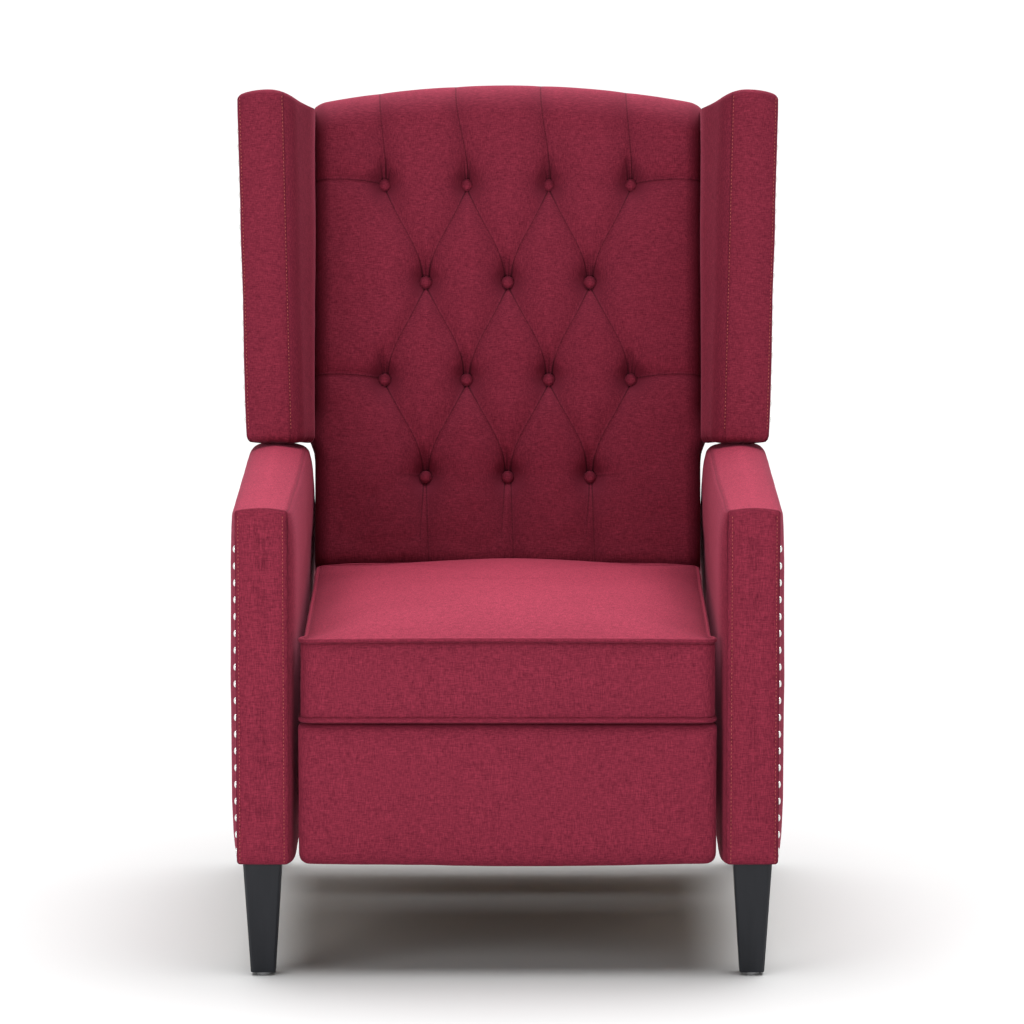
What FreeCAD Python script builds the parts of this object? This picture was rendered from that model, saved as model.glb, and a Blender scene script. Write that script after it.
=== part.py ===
import FreeCAD, Part
import math
import os

os.makedirs("parts", exist_ok=True)

# A push-back recliner with a tufted back, wings, padded arms and a folding footrest.
# Millimetres, Z up. F is the distance behind the front of the arms, X is across.

V = FreeCAD.Vector

# driving dimensions
SEAT_W = 504.0
ARM_W = 74.0
WING_OVER = 15.0
OVERALL_H = 1027.0
LEG_H = 140.0
ARM_H = 570.0
SEAT_D = 585.0
ARM_BEHIND = 120.0
SEAT_LINE = 428.0
LEAN = 11.0
PAD_T = 60.0
FRAME_T = 45.0
RECLINE = 32.0
SWING = 50.0
SWING_LINK = 105.0

# the rear face of the back's frame, leaning, sets the overall depth and so the middle
lean = math.radians(LEAN)
BACK_F = SEAT_D + PAD_T * math.cos(lean)
BACK_Z = SEAT_LINE - PAD_T * math.sin(lean)
slope = (OVERALL_H - BACK_Z + FRAME_T * math.sin(lean)) / math.cos(lean)
OVERALL_D = BACK_F + slope * math.sin(lean) + FRAME_T * math.cos(lean)
Y0 = OVERALL_D / 2.0

SEAT_HALF = SEAT_W / 2.0
ARM_IN = SEAT_HALF + 4.0
ARM_OUT = ARM_IN + ARM_W
TOP_HALF = ARM_OUT + WING_OVER
ARM_D = SEAT_D + ARM_BEHIND
STEEL = 3.0
LINK_T = 2.5
PIN_R = 4.0
RUN = 0.05

# layers of the mechanism, counted outwards from the timber of the seat
SEAT_RAIL_OUT = ARM_IN - 29.0
PLATE = (SEAT_RAIL_OUT, SEAT_RAIL_OUT + STEEL)
LAYER = []
edge = PLATE[1] + 0.4
for i in range(4):
    LAYER.append((edge, edge + LINK_T))
    edge = edge + LINK_T + 0.3
BRACKET_SET = 4.0
SWING_X = (ARM_IN - 9.0, ARM_IN - 5.5)
RAIL_X = (ARM_IN - 3.5, ARM_IN)

# pivots of the push-back swing, as (F, Z)
back_f = SWING_LINK * math.sin(math.radians(SWING / 2.0))
back_z = SWING_LINK * math.cos(math.radians(SWING / 2.0))
Q1 = (330.0, LEG_H + 140.0)
Q2 = (428.0, LEG_H + 140.0)
P1 = (Q1[0] - back_f, Q1[1] - back_z)
P2 = (Q2[0] - back_f, Q2[1] - back_z)
R = (SEAT_D + 15.0, LEG_H + 190.0)
STUD = (R[0] - 110.0, R[1] - 108.0)
STUD_R = 6.0
CAM_PLAY = 0.6
CAM_BAND = 13.5

# pivots of the footrest linkage at rest, as (F, Z)
B = (144.8, LEG_H + 156.0)
A = (B[0] + 32.1, B[1] - 20.1)
C = (B[0] + 94.4, B[1] - 141.2)
M = (B[0] + 74.0, B[1] - 110.7)
D = (B[0] + 107.4, B[1] - 131.2)
E = (B[0] - 81.4, B[1] - 78.5)
G = (B[0] - 98.4, B[1] - 39.1)


def at(x, f, z):
    return V(x, f - Y0, z)


def turn(p, a):
    # turns a (F, Z) vector clockwise, seen from +X, by a degrees
    c = math.cos(math.radians(a))
    s = math.sin(math.radians(a))
    return (p[0] * c + p[1] * s, -p[0] * s + p[1] * c)


def wire(points):
    # closed wire: a plain point ends a line, a pair (mid, end) ends an arc
    edges = []
    last = points[0]
    for p in points[1:] + [points[0]]:
        if isinstance(p, tuple):
            edges.append(Part.Arc(last, p[0], p[1]).toShape())
            last = p[1]
        elif (p - last).Length > 1e-6:
            edges.append(Part.LineSegment(last, p).toShape())
            last = p
    return Part.Wire(edges)


def prism(points, move):
    return Part.Face(wire(points)).extrude(move)


def side_plate(fz, x0, x1):
    # a flat piece cut from a side outline of (F, Z) points, between two X values
    pts = []
    for p in fz:
        if len(p) == 2 and isinstance(p[0], tuple):
            pts.append((at(x0, *p[0]), at(x0, *p[1])))
        else:
            pts.append(at(x0, *p))
    return prism(pts, V(x1 - x0, 0, 0))


def rounded(fz, radii):
    # rounds the corners of a (F, Z) polygon, each with its own radius
    out = []
    n = len(fz)
    for i in range(n):
        p = fz[i]
        r = radii[i] if isinstance(radii, (list, tuple)) else radii
        a = fz[i - 1]
        b = fz[(i + 1) % n]
        if r <= 0:
            out.append(p)
            continue
        ua = (a[0] - p[0], a[1] - p[1])
        ub = (b[0] - p[0], b[1] - p[1])
        la = math.hypot(*ua)
        lb = math.hypot(*ub)
        ua = (ua[0] / la, ua[1] / la)
        ub = (ub[0] / lb, ub[1] / lb)
        half = math.acos(max(-1.0, min(1.0, ua[0] * ub[0] + ua[1] * ub[1]))) / 2.0
        cut = r / math.tan(half)
        bis = (ua[0] + ub[0], ua[1] + ub[1])
        lb2 = math.hypot(*bis)
        reach = r / math.sin(half) - r
        mid = (p[0] + bis[0] / lb2 * reach, p[1] + bis[1] / lb2 * reach)
        out.append((p[0] + ua[0] * cut, p[1] + ua[1] * cut))
        out.append((mid, (p[0] + ub[0] * cut, p[1] + ub[1] * cut)))
    return out


def rod(p, r, x0, x1):
    # a cylinder along X
    lo = min(x0, x1)
    return Part.makeCylinder(r, abs(x1 - x0), at(lo, *p), V(1, 0, 0))


def box(x0, x1, f0, f1, z0, z1):
    return Part.makeBox(x1 - x0, f1 - f0, z1 - z0, at(x0, f0, z0))


def mirrored(shape):
    return shape.mirror(V(0, 0, 0), V(1, 0, 0))


def both(shape):
    return [shape, mirrored(shape)]


def save(name, shapes):
    solids = []
    for s in shapes if isinstance(shapes, list) else [shapes]:
        solids.extend(s.Solids)
    out = solids[0] if len(solids) == 1 else Part.makeCompound(solids)
    out.exportStep("parts/" + name + ".step")
    return out


def pair(name, shape):
    save("right_" + name, shape)
    save("left_" + name, mirrored(shape))


def link(points, half, x0, x1, holes):
    # a flat steel link with round ends: points are (F, Z), holes are (F, Z, radius)
    shape = None
    for p, q in zip(points, points[1:]):
        d = (q[0] - p[0], q[1] - p[1])
        length = math.hypot(*d)
        u = (d[0] / length * half, d[1] / length * half)
        n = (-u[1], u[0])
        bar = side_plate([(p[0] + n[0], p[1] + n[1]),
                          ((p[0] - u[0], p[1] - u[1]), (p[0] - n[0], p[1] - n[1])),
                          (q[0] - n[0], q[1] - n[1]),
                          ((q[0] + u[0], q[1] + u[1]), (q[0] + n[0], q[1] + n[1]))], x0, x1)
        shape = bar if shape is None else shape.fuse(bar)
    for f, z, r in holes:
        shape = shape.cut(rod((f, z), r, x0 - 1, x1 + 1))
    return shape.removeSplitter()


# the back is built upright: X across, Y to the rear of the pad's rear face, Z up the slope
def lean_back(shape):
    s = shape.copy()
    s.rotate(V(0, 0, 0), V(1, 0, 0), -LEAN)
    s.translate(at(0, BACK_F, BACK_Z))
    return s


def to_back(f, z):
    # world (F, Z) to the upright back's (Y, Z)
    df = f - BACK_F
    dz = z - BACK_Z
    return (df * math.cos(lean) - dz * math.sin(lean), df * math.sin(lean) + dz * math.cos(lean))


def flat_solid(rings):
    # a solid with flat faces between rings of as many corners
    walls = [Part.Face(Part.makePolygon(ring + ring[:1])) for ring in (rings[0], rings[-1])]
    for low, high in zip(rings, rings[1:]):
        for i in range(len(low)):
            walls.append(Part.Face(Part.makePolygon([low[i - 1], low[i], high[i], high[i - 1], low[i - 1]])))
    shell = Part.makeShell(walls)
    shell.sewShape()
    solid = Part.makeSolid(shell)
    if solid.Volume < 0:
        solid.reverse()
    return solid


def slope_z(z, y):
    # height on the upright back of the level plane z, at its depth y
    return (z - BACK_Z + y * math.sin(lean)) / math.cos(lean)


# nail heads and buttons: domes of few faces, because they repeat
NAIL_R = 5.0
NAIL_H = 3.0
NAIL_SIDES = 8
NAIL_STEP = 20.5
NAIL_SET = 12.0


def dome(p, d, r, h, sides):
    # p is the middle of its rim, d points outwards
    turned = FreeCAD.Rotation(V(0, 0, 1), d)
    rings = []
    for share, rise in ((1.0, 0.0), (0.8, 0.55), (0.3, 1.0)):
        ring = []
        for i in range(sides):
            a = 2 * math.pi * i / sides
            ring.append(p + turned.multVec(V(r * share * math.cos(a), r * share * math.sin(a), h * rise)))
        rings.append(ring)
    return flat_solid(rings)


def nails_on(shape, spots):
    # seats a nail head square on the outer face of the shape at each spot, looking along X
    out = []
    for spot in spots:
        x = []
        for dz in (-4.0, 4.0):
            q = spot + V(0, 0, dz)
            x.append(shape.common(Part.makeLine(q - V(12, 0, 0), q + V(12, 0, 0))).BoundBox.XMax)
        d = V(8.0, 0, x[0] - x[1])
        d.normalize()
        foot = V((x[0] + x[1]) / 2.0, spot.y, spot.z) + d * NAIL_GAP
        out.append(dome(foot, d, NAIL_R, NAIL_H, NAIL_SIDES))
    return out


# arms: timber inside a padded, hollow cover
ARM_FRONT_R = 5.0
RAKE_RUN = 105.0
RAKE_DROP = 90.0
ARM_KNEE = ARM_D - RAKE_RUN
ARM_RAKE = [(0.0, LEG_H), (0.0, ARM_H), (ARM_KNEE, ARM_H), (ARM_D, ARM_H - RAKE_DROP), (ARM_D, LEG_H)]
ARM_WALL = 14.0
ARM_BULGE = 3.0
NAIL_GAP = 0.1
WOOD_X = (ARM_IN + 10.0, ARM_OUT - 10.0)
BAR = 60.0
MID_BAR = (330.0, 372.0)


def arm_section(f, inset):
    top = ARM_H - inset
    inner = ARM_IN + inset
    xi = inner + 7.0
    xo = ARM_OUT - 2.0 - inset
    mid = (LEG_H + top) / 2.0
    return wire([at(inner, f, LEG_H), at(inner, f, SEAT_LINE), at(xi - 1.5, f, top - 13),
                 (at(xi + 1.5, f, top - 5), at(xi + 10, f, top - 2)),
                 (at((xi + xo) / 2, f, top), at(xo - 14, f, top - 2)),
                 (at(xo - 3.5, f, top - 6), at(xo, f, top - 15)),
                 (at(ARM_OUT + ARM_BULGE - inset, f, mid), at(ARM_OUT - inset, f, LEG_H))])


def arm_wood_outline():
    w = ARM_WALL
    return [(w, LEG_H), (w, ARM_H - w), (ARM_KNEE - w * 0.4, ARM_H - w),
            (ARM_D - w, ARM_H - RAKE_DROP - w * 0.8), (ARM_D - w, LEG_H)]


def arm_cover():
    r = ARM_FRONT_R
    sections = []
    for a in (0, 30, 60, 90):
        c = math.cos(math.radians(a))
        s = math.sin(math.radians(a))
        sections.append(arm_section(r * (1 - c), r * (1 - s)))
    sections.append(arm_section(ARM_D, 0.0))
    body = Part.makeLoft(sections, True, True)
    body = body.common(side_plate(rounded(ARM_RAKE, [0, 0, 60, 20, 0]), ARM_IN - 5, ARM_OUT + 20))
    return body.cut(side_plate(arm_wood_outline(), *WOOD_X))


def arm_frame():
    whole = side_plate(arm_wood_outline(), *WOOD_X)
    x = (WOOD_X[0] - 1, WOOD_X[1] + 1)
    front = box(*x, BAR, MID_BAR[0], LEG_H + BAR, ARM_H - BAR)
    rear = box(*x, MID_BAR[1], ARM_D - BAR, LEG_H + BAR, ARM_H - RAKE_DROP - BAR + 20.0)
    return whole.cut(front).cut(rear)


def arm_nail_spots():
    out = []
    z = LEG_H + 15.0
    while z < ARM_H - 35.0:
        out.append(at(ARM_OUT, NAIL_SET, z))
        z += NAIL_STEP
    return out


cover = arm_cover()
nails = nails_on(cover, arm_nail_spots())
pair("arm_cover", cover)
save("right_arm_nails", nails)
save("left_arm_nails", [mirrored(n) for n in nails])
WOOD_FRAME = arm_frame()

# legs with glides and hanger bolts
LEG_TOP = 47.0
LEG_FOOT = 30.0
GLIDE_H = 4.0
FRONT_LEG = (ARM_OUT - 34.0, 32.0)
REAR_LEG = (ARM_OUT - 15.0, ARM_D - 41.0)
EDGE = 3.0


def square(cx, cf, half, z):
    # a square with its corners planed off
    pts = []
    for sx, sf in ((1, 1), (-1, 1), (-1, -1), (1, -1)):
        first = (cx + sx * half, cf + sf * (half - EDGE))
        second = (cx + sx * (half - EDGE), cf + sf * half)
        pts += [first, second] if sx == sf else [second, first]
    return [at(x, f, z) for x, f in pts]


def leg(cx, cf, rake):
    top = square(cx, cf, LEG_TOP / 2, LEG_H)
    foot = square(cx, cf + rake, LEG_FOOT / 2, GLIDE_H)
    return flat_solid([foot, top])


def leg_bolt(cx, cf):
    return Part.makeCylinder(4.0, 70.0, at(cx, cf, LEG_H - 35.0))


for name, spot, rake in (("front", FRONT_LEG, 0.0), ("rear", REAR_LEG, 14.0)):
    body = leg(spot[0], spot[1], rake).cut(leg_bolt(*spot))
    save(name + "_right_leg", body)
    save(name + "_left_leg", mirrored(body))
glides = []
bolts = []
for spot, rake in ((FRONT_LEG, 0.0), (REAR_LEG, 14.0)):
    glides += both(Part.makeCylinder(9.0, GLIDE_H, at(spot[0], spot[1] + rake, 0)))
    bolts += both(leg_bolt(*spot))
    WOOD_FRAME = WOOD_FRAME.cut(leg_bolt(*spot))
save("leg_glides", glides)
save("leg_bolts", bolts)
pair("arm_frame", WOOD_FRAME)

# cross members of the base
STRETCH_Z = (LEG_H + 1.0, LEG_H + 26.0)
STRETCH_W = 50.0
FRONT_STRETCH = (P1[0] - 23.6, P1[0] - 23.6 + STRETCH_W)
REAR_STRETCH = (ARM_D - 55.0 - STRETCH_W, ARM_D - 55.0)
for name, span in (("front", FRONT_STRETCH), ("rear", REAR_STRETCH)):
    save(name + "_stretcher", box(-ARM_IN, ARM_IN, span[0], span[1], STRETCH_Z[0], STRETCH_Z[1]))
APRON_Z = LEG_H + 160.0
apron = side_plate(rounded([(ARM_D, LEG_H), (ARM_D, APRON_Z), (ARM_D + 12, APRON_Z), (ARM_D + 12, LEG_H)],
                           [0, 0, 5, 5]), -ARM_OUT + 3, ARM_OUT - 3)
save("rear_apron", apron)


# base rails: steel angles that carry the swing pivots and the cam stud
def base_rail():
    top = P1[1] + 18.0
    low = STRETCH_Z[1]
    outline = rounded([(FRONT_STRETCH[0] + 2, low), (FRONT_STRETCH[0] + 2, top), (STUD[0] - 34, top),
                       (STUD[0] - 13, STUD[1] + 13), (STUD[0] + 13, STUD[1] + 13), (STUD[0] + 40, top),
                       (REAR_STRETCH[1] - 2, top - 14), (REAR_STRETCH[1] - 2, low)],
                      [0, 12, 12, 11, 11, 16, 12, 0])
    body = side_plate(outline, *RAIL_X)
    for span in (FRONT_STRETCH, REAR_STRETCH):
        body = body.fuse(box(ARM_IN - 40, ARM_IN, span[0] + 2, span[1] - 2, low, low + STEEL))
    for p, r in ((P1, PIN_R), (P2, PIN_R), (STUD, STUD_R)):
        body = body.cut(rod(p, r, RAIL_X[0] - 1, RAIL_X[1] + 1))
    return body.removeSplitter()


pair("base_rail", base_rail())


def base_pins():
    out = []
    for p in (P1, P2):
        pin = rod(p, PIN_R, SWING_X[0] - 1.6, RAIL_X[1])
        pin = pin.fuse(rod(p, 7.0, SWING_X[0] - 1.8, SWING_X[0] - 0.1))
        pin = pin.fuse(rod(p, 7.0, SWING_X[1] + 0.2, RAIL_X[0]))
        out.append(pin.removeSplitter())
    out.append(rod(STUD, STUD_R, SEAT_RAIL_OUT + BRACKET_SET - 0.4, RAIL_X[1]))
    return out


save("base_pins", [s for p in base_pins() for s in both(p)])

# swing links: a pair on each side, each pair joined by a torque tube on the base pivots
TUBE_R = 11.0
for name, q, p in (("front", Q1, P1), ("rear", Q2, P2)):
    bar = link([p, q], 10.0, *SWING_X, [(*p, PIN_R + RUN), (*q, PIN_R + RUN)])
    tube = rod(p, TUBE_R, -SWING_X[0], SWING_X[0])
    tube = tube.cut(rod(p, TUBE_R - 2.0, -SWING_X[0] - 1, SWING_X[0] + 1))
    save(name + "_swing_links", both(bar) + [tube])

# seat frame: four timber rails, webbing, and a steel side plate
RAIL_W = 22.0
RAIL_Z = (LEG_H + 115.0, LEG_H + 172.0)
FRONT_RAIL = (42.0, 42.0 + RAIL_W)
REAR_RAIL = (SEAT_D - 45.0, SEAT_D - 45.0 + RAIL_W)
STRAP = 1.6
inner_x = SEAT_RAIL_OUT - RAIL_W
side = box(inner_x, SEAT_RAIL_OUT, FRONT_RAIL[0], REAR_RAIL[1], RAIL_Z[0], RAIL_Z[1])
pair("seat_rail", side)
for name, span in (("front", FRONT_RAIL), ("rear", REAR_RAIL)):
    save("seat_" + name + "_rail", box(-inner_x, inner_x, span[0], span[1], RAIL_Z[0], RAIL_Z[1]))


def seat_webbing():
    out = []
    step = 92.0
    w = 52.0
    for i in range(5):
        x = (i - 2) * step
        out.append(box(x - w / 2, x + w / 2, FRONT_RAIL[0], REAR_RAIL[1], RAIL_Z[1], RAIL_Z[1] + STRAP))
    for i in range(5):
        f = FRONT_RAIL[1] + 41.0 + i * step
        z = RAIL_Z[1] + STRAP
        out.append(box(-SEAT_RAIL_OUT, SEAT_RAIL_OUT, f - w / 2, f + w / 2, z, z + STRAP))
    shape = out[0]
    for s in out[1:]:
        shape = shape.fuse(s)
    return shape.removeSplitter()


save("seat_webbing", seat_webbing())


def seat_plate():
    x0, x1 = PLATE
    low = RAIL_Z[0] + 4.0
    top = RAIL_Z[1] - 3.0
    strip = side_plate(rounded([(58, low), (58, top), (R[0] - 30, top), (R[0] - 11, R[1] + 8),
                                (R[0] + 9, R[1] - 11), (R[0] - 48, low)], [8, 8, 6, 4, 6, 30]), x0, x1)
    strip = strip.fuse(rod(R, 14.0, x0, x1))
    for p in (Q1, Q2, A, B, R):
        strip = strip.cut(rod(p, PIN_R, x0 - 1, x1 + 1))
    for f in (Q1[0] - 120.0, Q2[0] - 38.0, R[0] - 100.0):
        mid = (low + top) / 2.0
        slot = rounded([(f - 22, mid - 8), (f - 22, mid + 8), (f + 22, mid + 8), (f + 22, mid - 8)], 7.9)
        strip = strip.cut(side_plate(slot, x0 - 1, x1 + 1))
    return strip.removeSplitter()


pair("seat_plate", seat_plate())


def seat_pins():
    out = []
    for p in (Q1, Q2):
        pin = rod(p, PIN_R, PLATE[0], SWING_X[1] + 1.3)
        pin = pin.fuse(rod(p, 6.5, PLATE[1], SWING_X[0] - 0.2))
        out.append(pin.fuse(rod(p, 7.0, SWING_X[1] + 0.1, SWING_X[1] + 1.4)))
    a = rod(A, PIN_R, PLATE[0], LAYER[0][1] + 1.8)
    out.append(a.fuse(rod(A, 7.0, LAYER[0][1] + 0.1, LAYER[0][1] + 1.9)))
    b = rod(B, PIN_R, PLATE[0], LAYER[2][1] + 1.8)
    b = b.fuse(rod(B, 6.0, PLATE[1], LAYER[2][0] - 0.1))
    out.append(b.fuse(rod(B, 7.0, LAYER[2][1] + 0.1, LAYER[2][1] + 1.9)))
    face = SEAT_RAIL_OUT + BRACKET_SET + STEEL
    r = rod(R, PIN_R, PLATE[0], face + 1.8)
    out.append(r.fuse(rod(R, 7.0, face + 0.2, face + 1.9)))
    return [p.removeSplitter() for p in out]


save("seat_pins", [s for p in seat_pins() for s in both(p)])

# seat cushion: crowned, sides drawn in, welts round the front face
WELT_IN = 1.2
CUSHION_Z = (RAIL_Z[1] + 2 * STRAP + 0.3 - WELT_IN, SEAT_LINE - 13.0)
CUSHION_BACK = SEAT_D - 19.0
WELT_R = 3.0
SIDE_PUFF = 2.0


def cushion_section(f, inset, draw, crown):
    # a bead at each corner is the welt; the sides are drawn in between the ends
    h = SEAT_HALF - 1.0 - inset - draw
    low = CUSHION_Z[0] + inset
    top = CUSHION_Z[1] - inset
    mid = (low + top) / 2.0
    b = WELT_R
    half = [at(h - 2 * b, f, low), (at(h, f, low + 0.6), at(h - b, f, low + 2 * b)),
            (at(h - b + SIDE_PUFF, f, mid), at(h - b, f, top - 2 * b)),
            (at(h, f, top - 0.6), at(h - 2 * b, f, top))]
    other = [(at(0, f, top + crown), at(-h + 2 * b, f, top)),
             (at(-h, f, top - 0.6), at(-h + b, f, top - 2 * b)),
             (at(-h + b - SIDE_PUFF, f, mid), at(-h + b, f, low + 2 * b)),
             (at(-h, f, low + 0.6), at(-h + 2 * b, f, low))]
    return wire(half + other)


def seat_cushion():
    # F, inset of the outline, draw of the sides, crown of the top
    stations = ((0.5, 5.0, 0.0, 5.0), (2.0, 1.5, 0.0, 7.0), (4.5, 0.0, 0.0, 8.0), (8.0, WELT_IN, 0.0, 8.0),
                (60.0, WELT_IN, 1.0, 17.0), (160.0, WELT_IN, 2.5, 26.0), (SEAT_D - 285.0, WELT_IN, 3.0, 29.0),
                (SEAT_D - 145.0, WELT_IN, 2.5, 25.0), (SEAT_D - 45.0, WELT_IN, 1.0, 16.0),
                (CUSHION_BACK, WELT_IN, 0.0, 10.0))
    return Part.makeLoft([cushion_section(*st) for st in stations], True, True)


save("seat_cushion", seat_cushion())

# back frame
POST_X = (SEAT_RAIL_OUT - 22.0, SEAT_RAIL_OUT + BRACKET_SET)
BACK_LOW = to_back(*R)[1] - 19.7
TOP_CENTRE = slope - 18.6
TOP_SIDE = TOP_CENTRE - 26.0
WING_FRONT = 169.0
WING_LOW = ARM_H + 24.0
WING_FOOT = slope_z(WING_LOW, -WING_FRONT)
WING_TOP = slope_z(OVERALL_H, -WING_FRONT)
WING_RAIL = (WING_FOOT + 57.0, WING_FOOT + 117.0)
TOP_RAIL = (WING_TOP - 87.0, WING_TOP - 35.0)
WING_IN = SEAT_HALF - 2.0
WING_WOOD = (TOP_HALF - 55.0, TOP_HALF - 37.0)


def up_box(x0, x1, y0, y1, z0, z1):
    return lean_back(Part.makeBox(x1 - x0, y1 - y0, z1 - z0, V(x0, y0, z0)))


post = up_box(POST_X[0], POST_X[1], 0, FRAME_T, BACK_LOW, TOP_RAIL[0])
wing_rail = up_box(-WING_WOOD[0], WING_WOOD[0], FRAME_T / 2, FRAME_T, WING_RAIL[0], WING_RAIL[1])
top_rail = up_box(-WING_WOOD[0], WING_WOOD[0], 0, FRAME_T, TOP_RAIL[0], TOP_RAIL[1])
pair("back_post", post.cut(wing_rail))
save("back_wing_rail", wing_rail)
save("back_top_rail", top_rail)
save("back_bottom_rail", up_box(-POST_X[0], POST_X[0], 5, FRAME_T - 5, BACK_LOW + 10, BACK_LOW + 70))


def back_webbing():
    # six straps across the posts, evenly spaced up to the top rail
    width = 50.0
    low = 10.0
    step = (TOP_RAIL[0] - 22.0 - width - low) / 5
    out = []
    for i in range(6):
        z = low + i * step
        out.append(up_box(-POST_X[1], POST_X[1], -STRAP, 0, z, z + width))
    return out


save("back_webbing", back_webbing())

# tufted back cushion
COL = 53.0
ROW_TOP = 134.5
ROW_LOW = 99.0
ROW = (TOP_CENTRE - ROW_TOP - ROW_LOW) / 3.0
ROWS = [TOP_CENTRE - ROW_TOP - ROW * i for i in range(4)]
PAD_HALF = WING_IN
PAD_BASE = -STRAP
BUTTON_R = 8.0
BUTTON_H = 4.0
BUTTON_SIDES = 12
VALLEY = 13.0
CROWN = 12.0


def tuft_section(z, k, deep, edge):
    # k runs 0 on a four-button row to 1 on a three-button row; deep is the valley's depth there
    narrow = 6.0
    p = narrow + (COL - 2 * narrow) * k
    face = PAD_T
    cols = [c * COL for c in (-3, -2, -1, 0, 1, 2, 3)]
    pts = []
    valleys = []
    for i, c in enumerate(cols):
        h = p if i % 2 == 0 else COL - p
        bulge = k if i % 2 == 0 else 1.0 - k
        valleys.append((c - h, c + h, bulge))
    y_valley = -(face - deep)
    pts.append(V(-PAD_HALF, PAD_BASE, z))
    pts.append(V(-PAD_HALF, -(face - edge), z))
    x_last = -PAD_HALF
    side_top = face + CROWN * 0.6 - edge * 0.3
    pts.append((V((x_last + valleys[0][0]) / 2, -side_top, z), V(valleys[0][0], y_valley, z)))
    for i, (x0, x1, bulge) in enumerate(valleys):
        top = face - deep + (deep + CROWN) * bulge ** 0.6 + 0.6
        pts.append((V((x0 + x1) / 2, -top, z), V(x1, y_valley, z)))
    pts.append((V((valleys[-1][1] + PAD_HALF) / 2, -side_top, z), V(PAD_HALF, -(face - edge), z)))
    pts.append(V(PAD_HALF, PAD_BASE, z))
    return wire(pts)


def back_cushion():
    sections = []
    low = -20.0
    sections.append(tuft_section(low, 0.93, 10.0, 22.0))
    sections.append(tuft_section(20.0, 0.93, 9.0, 16.0))
    sections.append(tuft_section(ROWS[3] - 32.0, 0.96, 8.0, 14.0))
    for i in (3, 2, 1, 0):
        z = ROWS[i]
        k0 = 1.0 if i % 2 == 1 else 0.0
        sections.append(tuft_section(z, k0, VALLEY, 14.0))
        if i == 0:
            break
        for q in (0.25, 0.5, 0.75):
            k = k0 + (1.0 - 2.0 * k0) * q
            deep = VALLEY - 7.0 * math.sin(math.pi * q)
            sections.append(tuft_section(z + ROW * q, k, deep, 14.0))
    sections.append(tuft_section(ROWS[0] + 32.0, 0.04, 8.0, 14.0))
    sections.append(tuft_section(ROWS[0] + 90.0, 0.04, 9.0, 16.0))
    sections.append(tuft_section(TOP_CENTRE + 10.0, 0.04, 12.0, 22.0))
    body = Part.makeLoft(sections, True, True)
    y0 = -(PAD_T + CROWN + 10.0)
    outline = [V(-PAD_HALF, y0, low), V(PAD_HALF, y0, low), V(PAD_HALF, y0, TOP_SIDE),
               (V(0, y0, TOP_CENTRE), V(-PAD_HALF, y0, TOP_SIDE))]
    rim = prism(outline, V(0, PAD_BASE - y0, 0))
    top = [e for e in rim.Edges if abs(e.CenterOfMass.y - y0) < 0.01 and e.CenterOfMass.z > TOP_SIDE]
    try:
        rim = rim.makeFillet(34.0, top)
    except Exception:
        print("back top left square")
    body = body.common(rim)
    cap_low = TOP_RAIL[1]
    rear = FRAME_T
    y = PAD_BASE
    cap = prism([V(-PAD_HALF, y, cap_low), V(PAD_HALF, y, cap_low), V(PAD_HALF, y, TOP_SIDE),
                 (V(0, y, TOP_CENTRE), V(-PAD_HALF, y, TOP_SIDE))], V(0, rear - y, 0))
    hem = [e for e in cap.Edges if abs(e.CenterOfMass.y - rear) < 0.01 and e.CenterOfMass.z > TOP_SIDE]
    cap = cap.makeFillet(8.0, hem)
    return body.fuse(cap).removeSplitter()


def button_spots():
    out = []
    for i, z in enumerate(ROWS):
        cols = (-3, -1, 1, 3) if i % 2 == 0 else (-2, 0, 2)
        for c in cols:
            out.append((c * COL, z))
    return out


cushion = back_cushion()
buttons = []
seat_y = -(PAD_T - VALLEY) + 1.0
for x, z in button_spots():
    buttons.append(lean_back(dome(V(x, seat_y, z), V(0, -1, 0), BUTTON_R, BUTTON_H, BUTTON_SIDES)))
    cushion = cushion.cut(Part.makeCylinder(BUTTON_R, 30.0, V(x, seat_y, z), V(0, -1, 0)))
save("back_cushion", lean_back(cushion))
save("tuft_buttons", buttons)

# wings: a plan outline run up the slope, leaning outwards, and cut to its outline from the front
WING_FLARE = 15.5
WING_SEAM = 60.0
WING_RISE = 6.0 / (WING_FRONT + FRAME_T)
WING_WALL = (36.0, 10.0)


def flare(z):
    # how far the outer side lies inside the widest line at height z of the upright back
    return WING_FLARE * (WING_TOP - z) / (WING_TOP - WING_FOOT)


def wing_wood():
    # an open frame of plywood behind the padding of the front panel
    front = -WING_FRONT + WING_WALL[0]
    rear = FRAME_T - WING_WALL[1]
    low = WING_FOOT + 40.0
    top = WING_TOP - 36.0
    faces = []
    for inset, radii in ((0.0, [20, 40, 20, 20]), (55.0, 16)):
        y0, y1 = front + inset, rear - inset
        z0, z1 = low + inset, top - inset
        ring = []
        for p in rounded([(y0, z0), (y0, z1), (y1, z1), (y1, z0)], radii):
            if isinstance(p[0], tuple):
                ring.append((V(WING_WOOD[0], *p[0]), V(WING_WOOD[0], *p[1])))
            else:
                ring.append(V(WING_WOOD[0], *p))
        faces.append(Part.Face(wire(ring)))
    body = faces[0].cut(faces[1]).extrude(V(WING_WOOD[1] - WING_WOOD[0], 0, 0))
    return lean_back(body)


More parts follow.
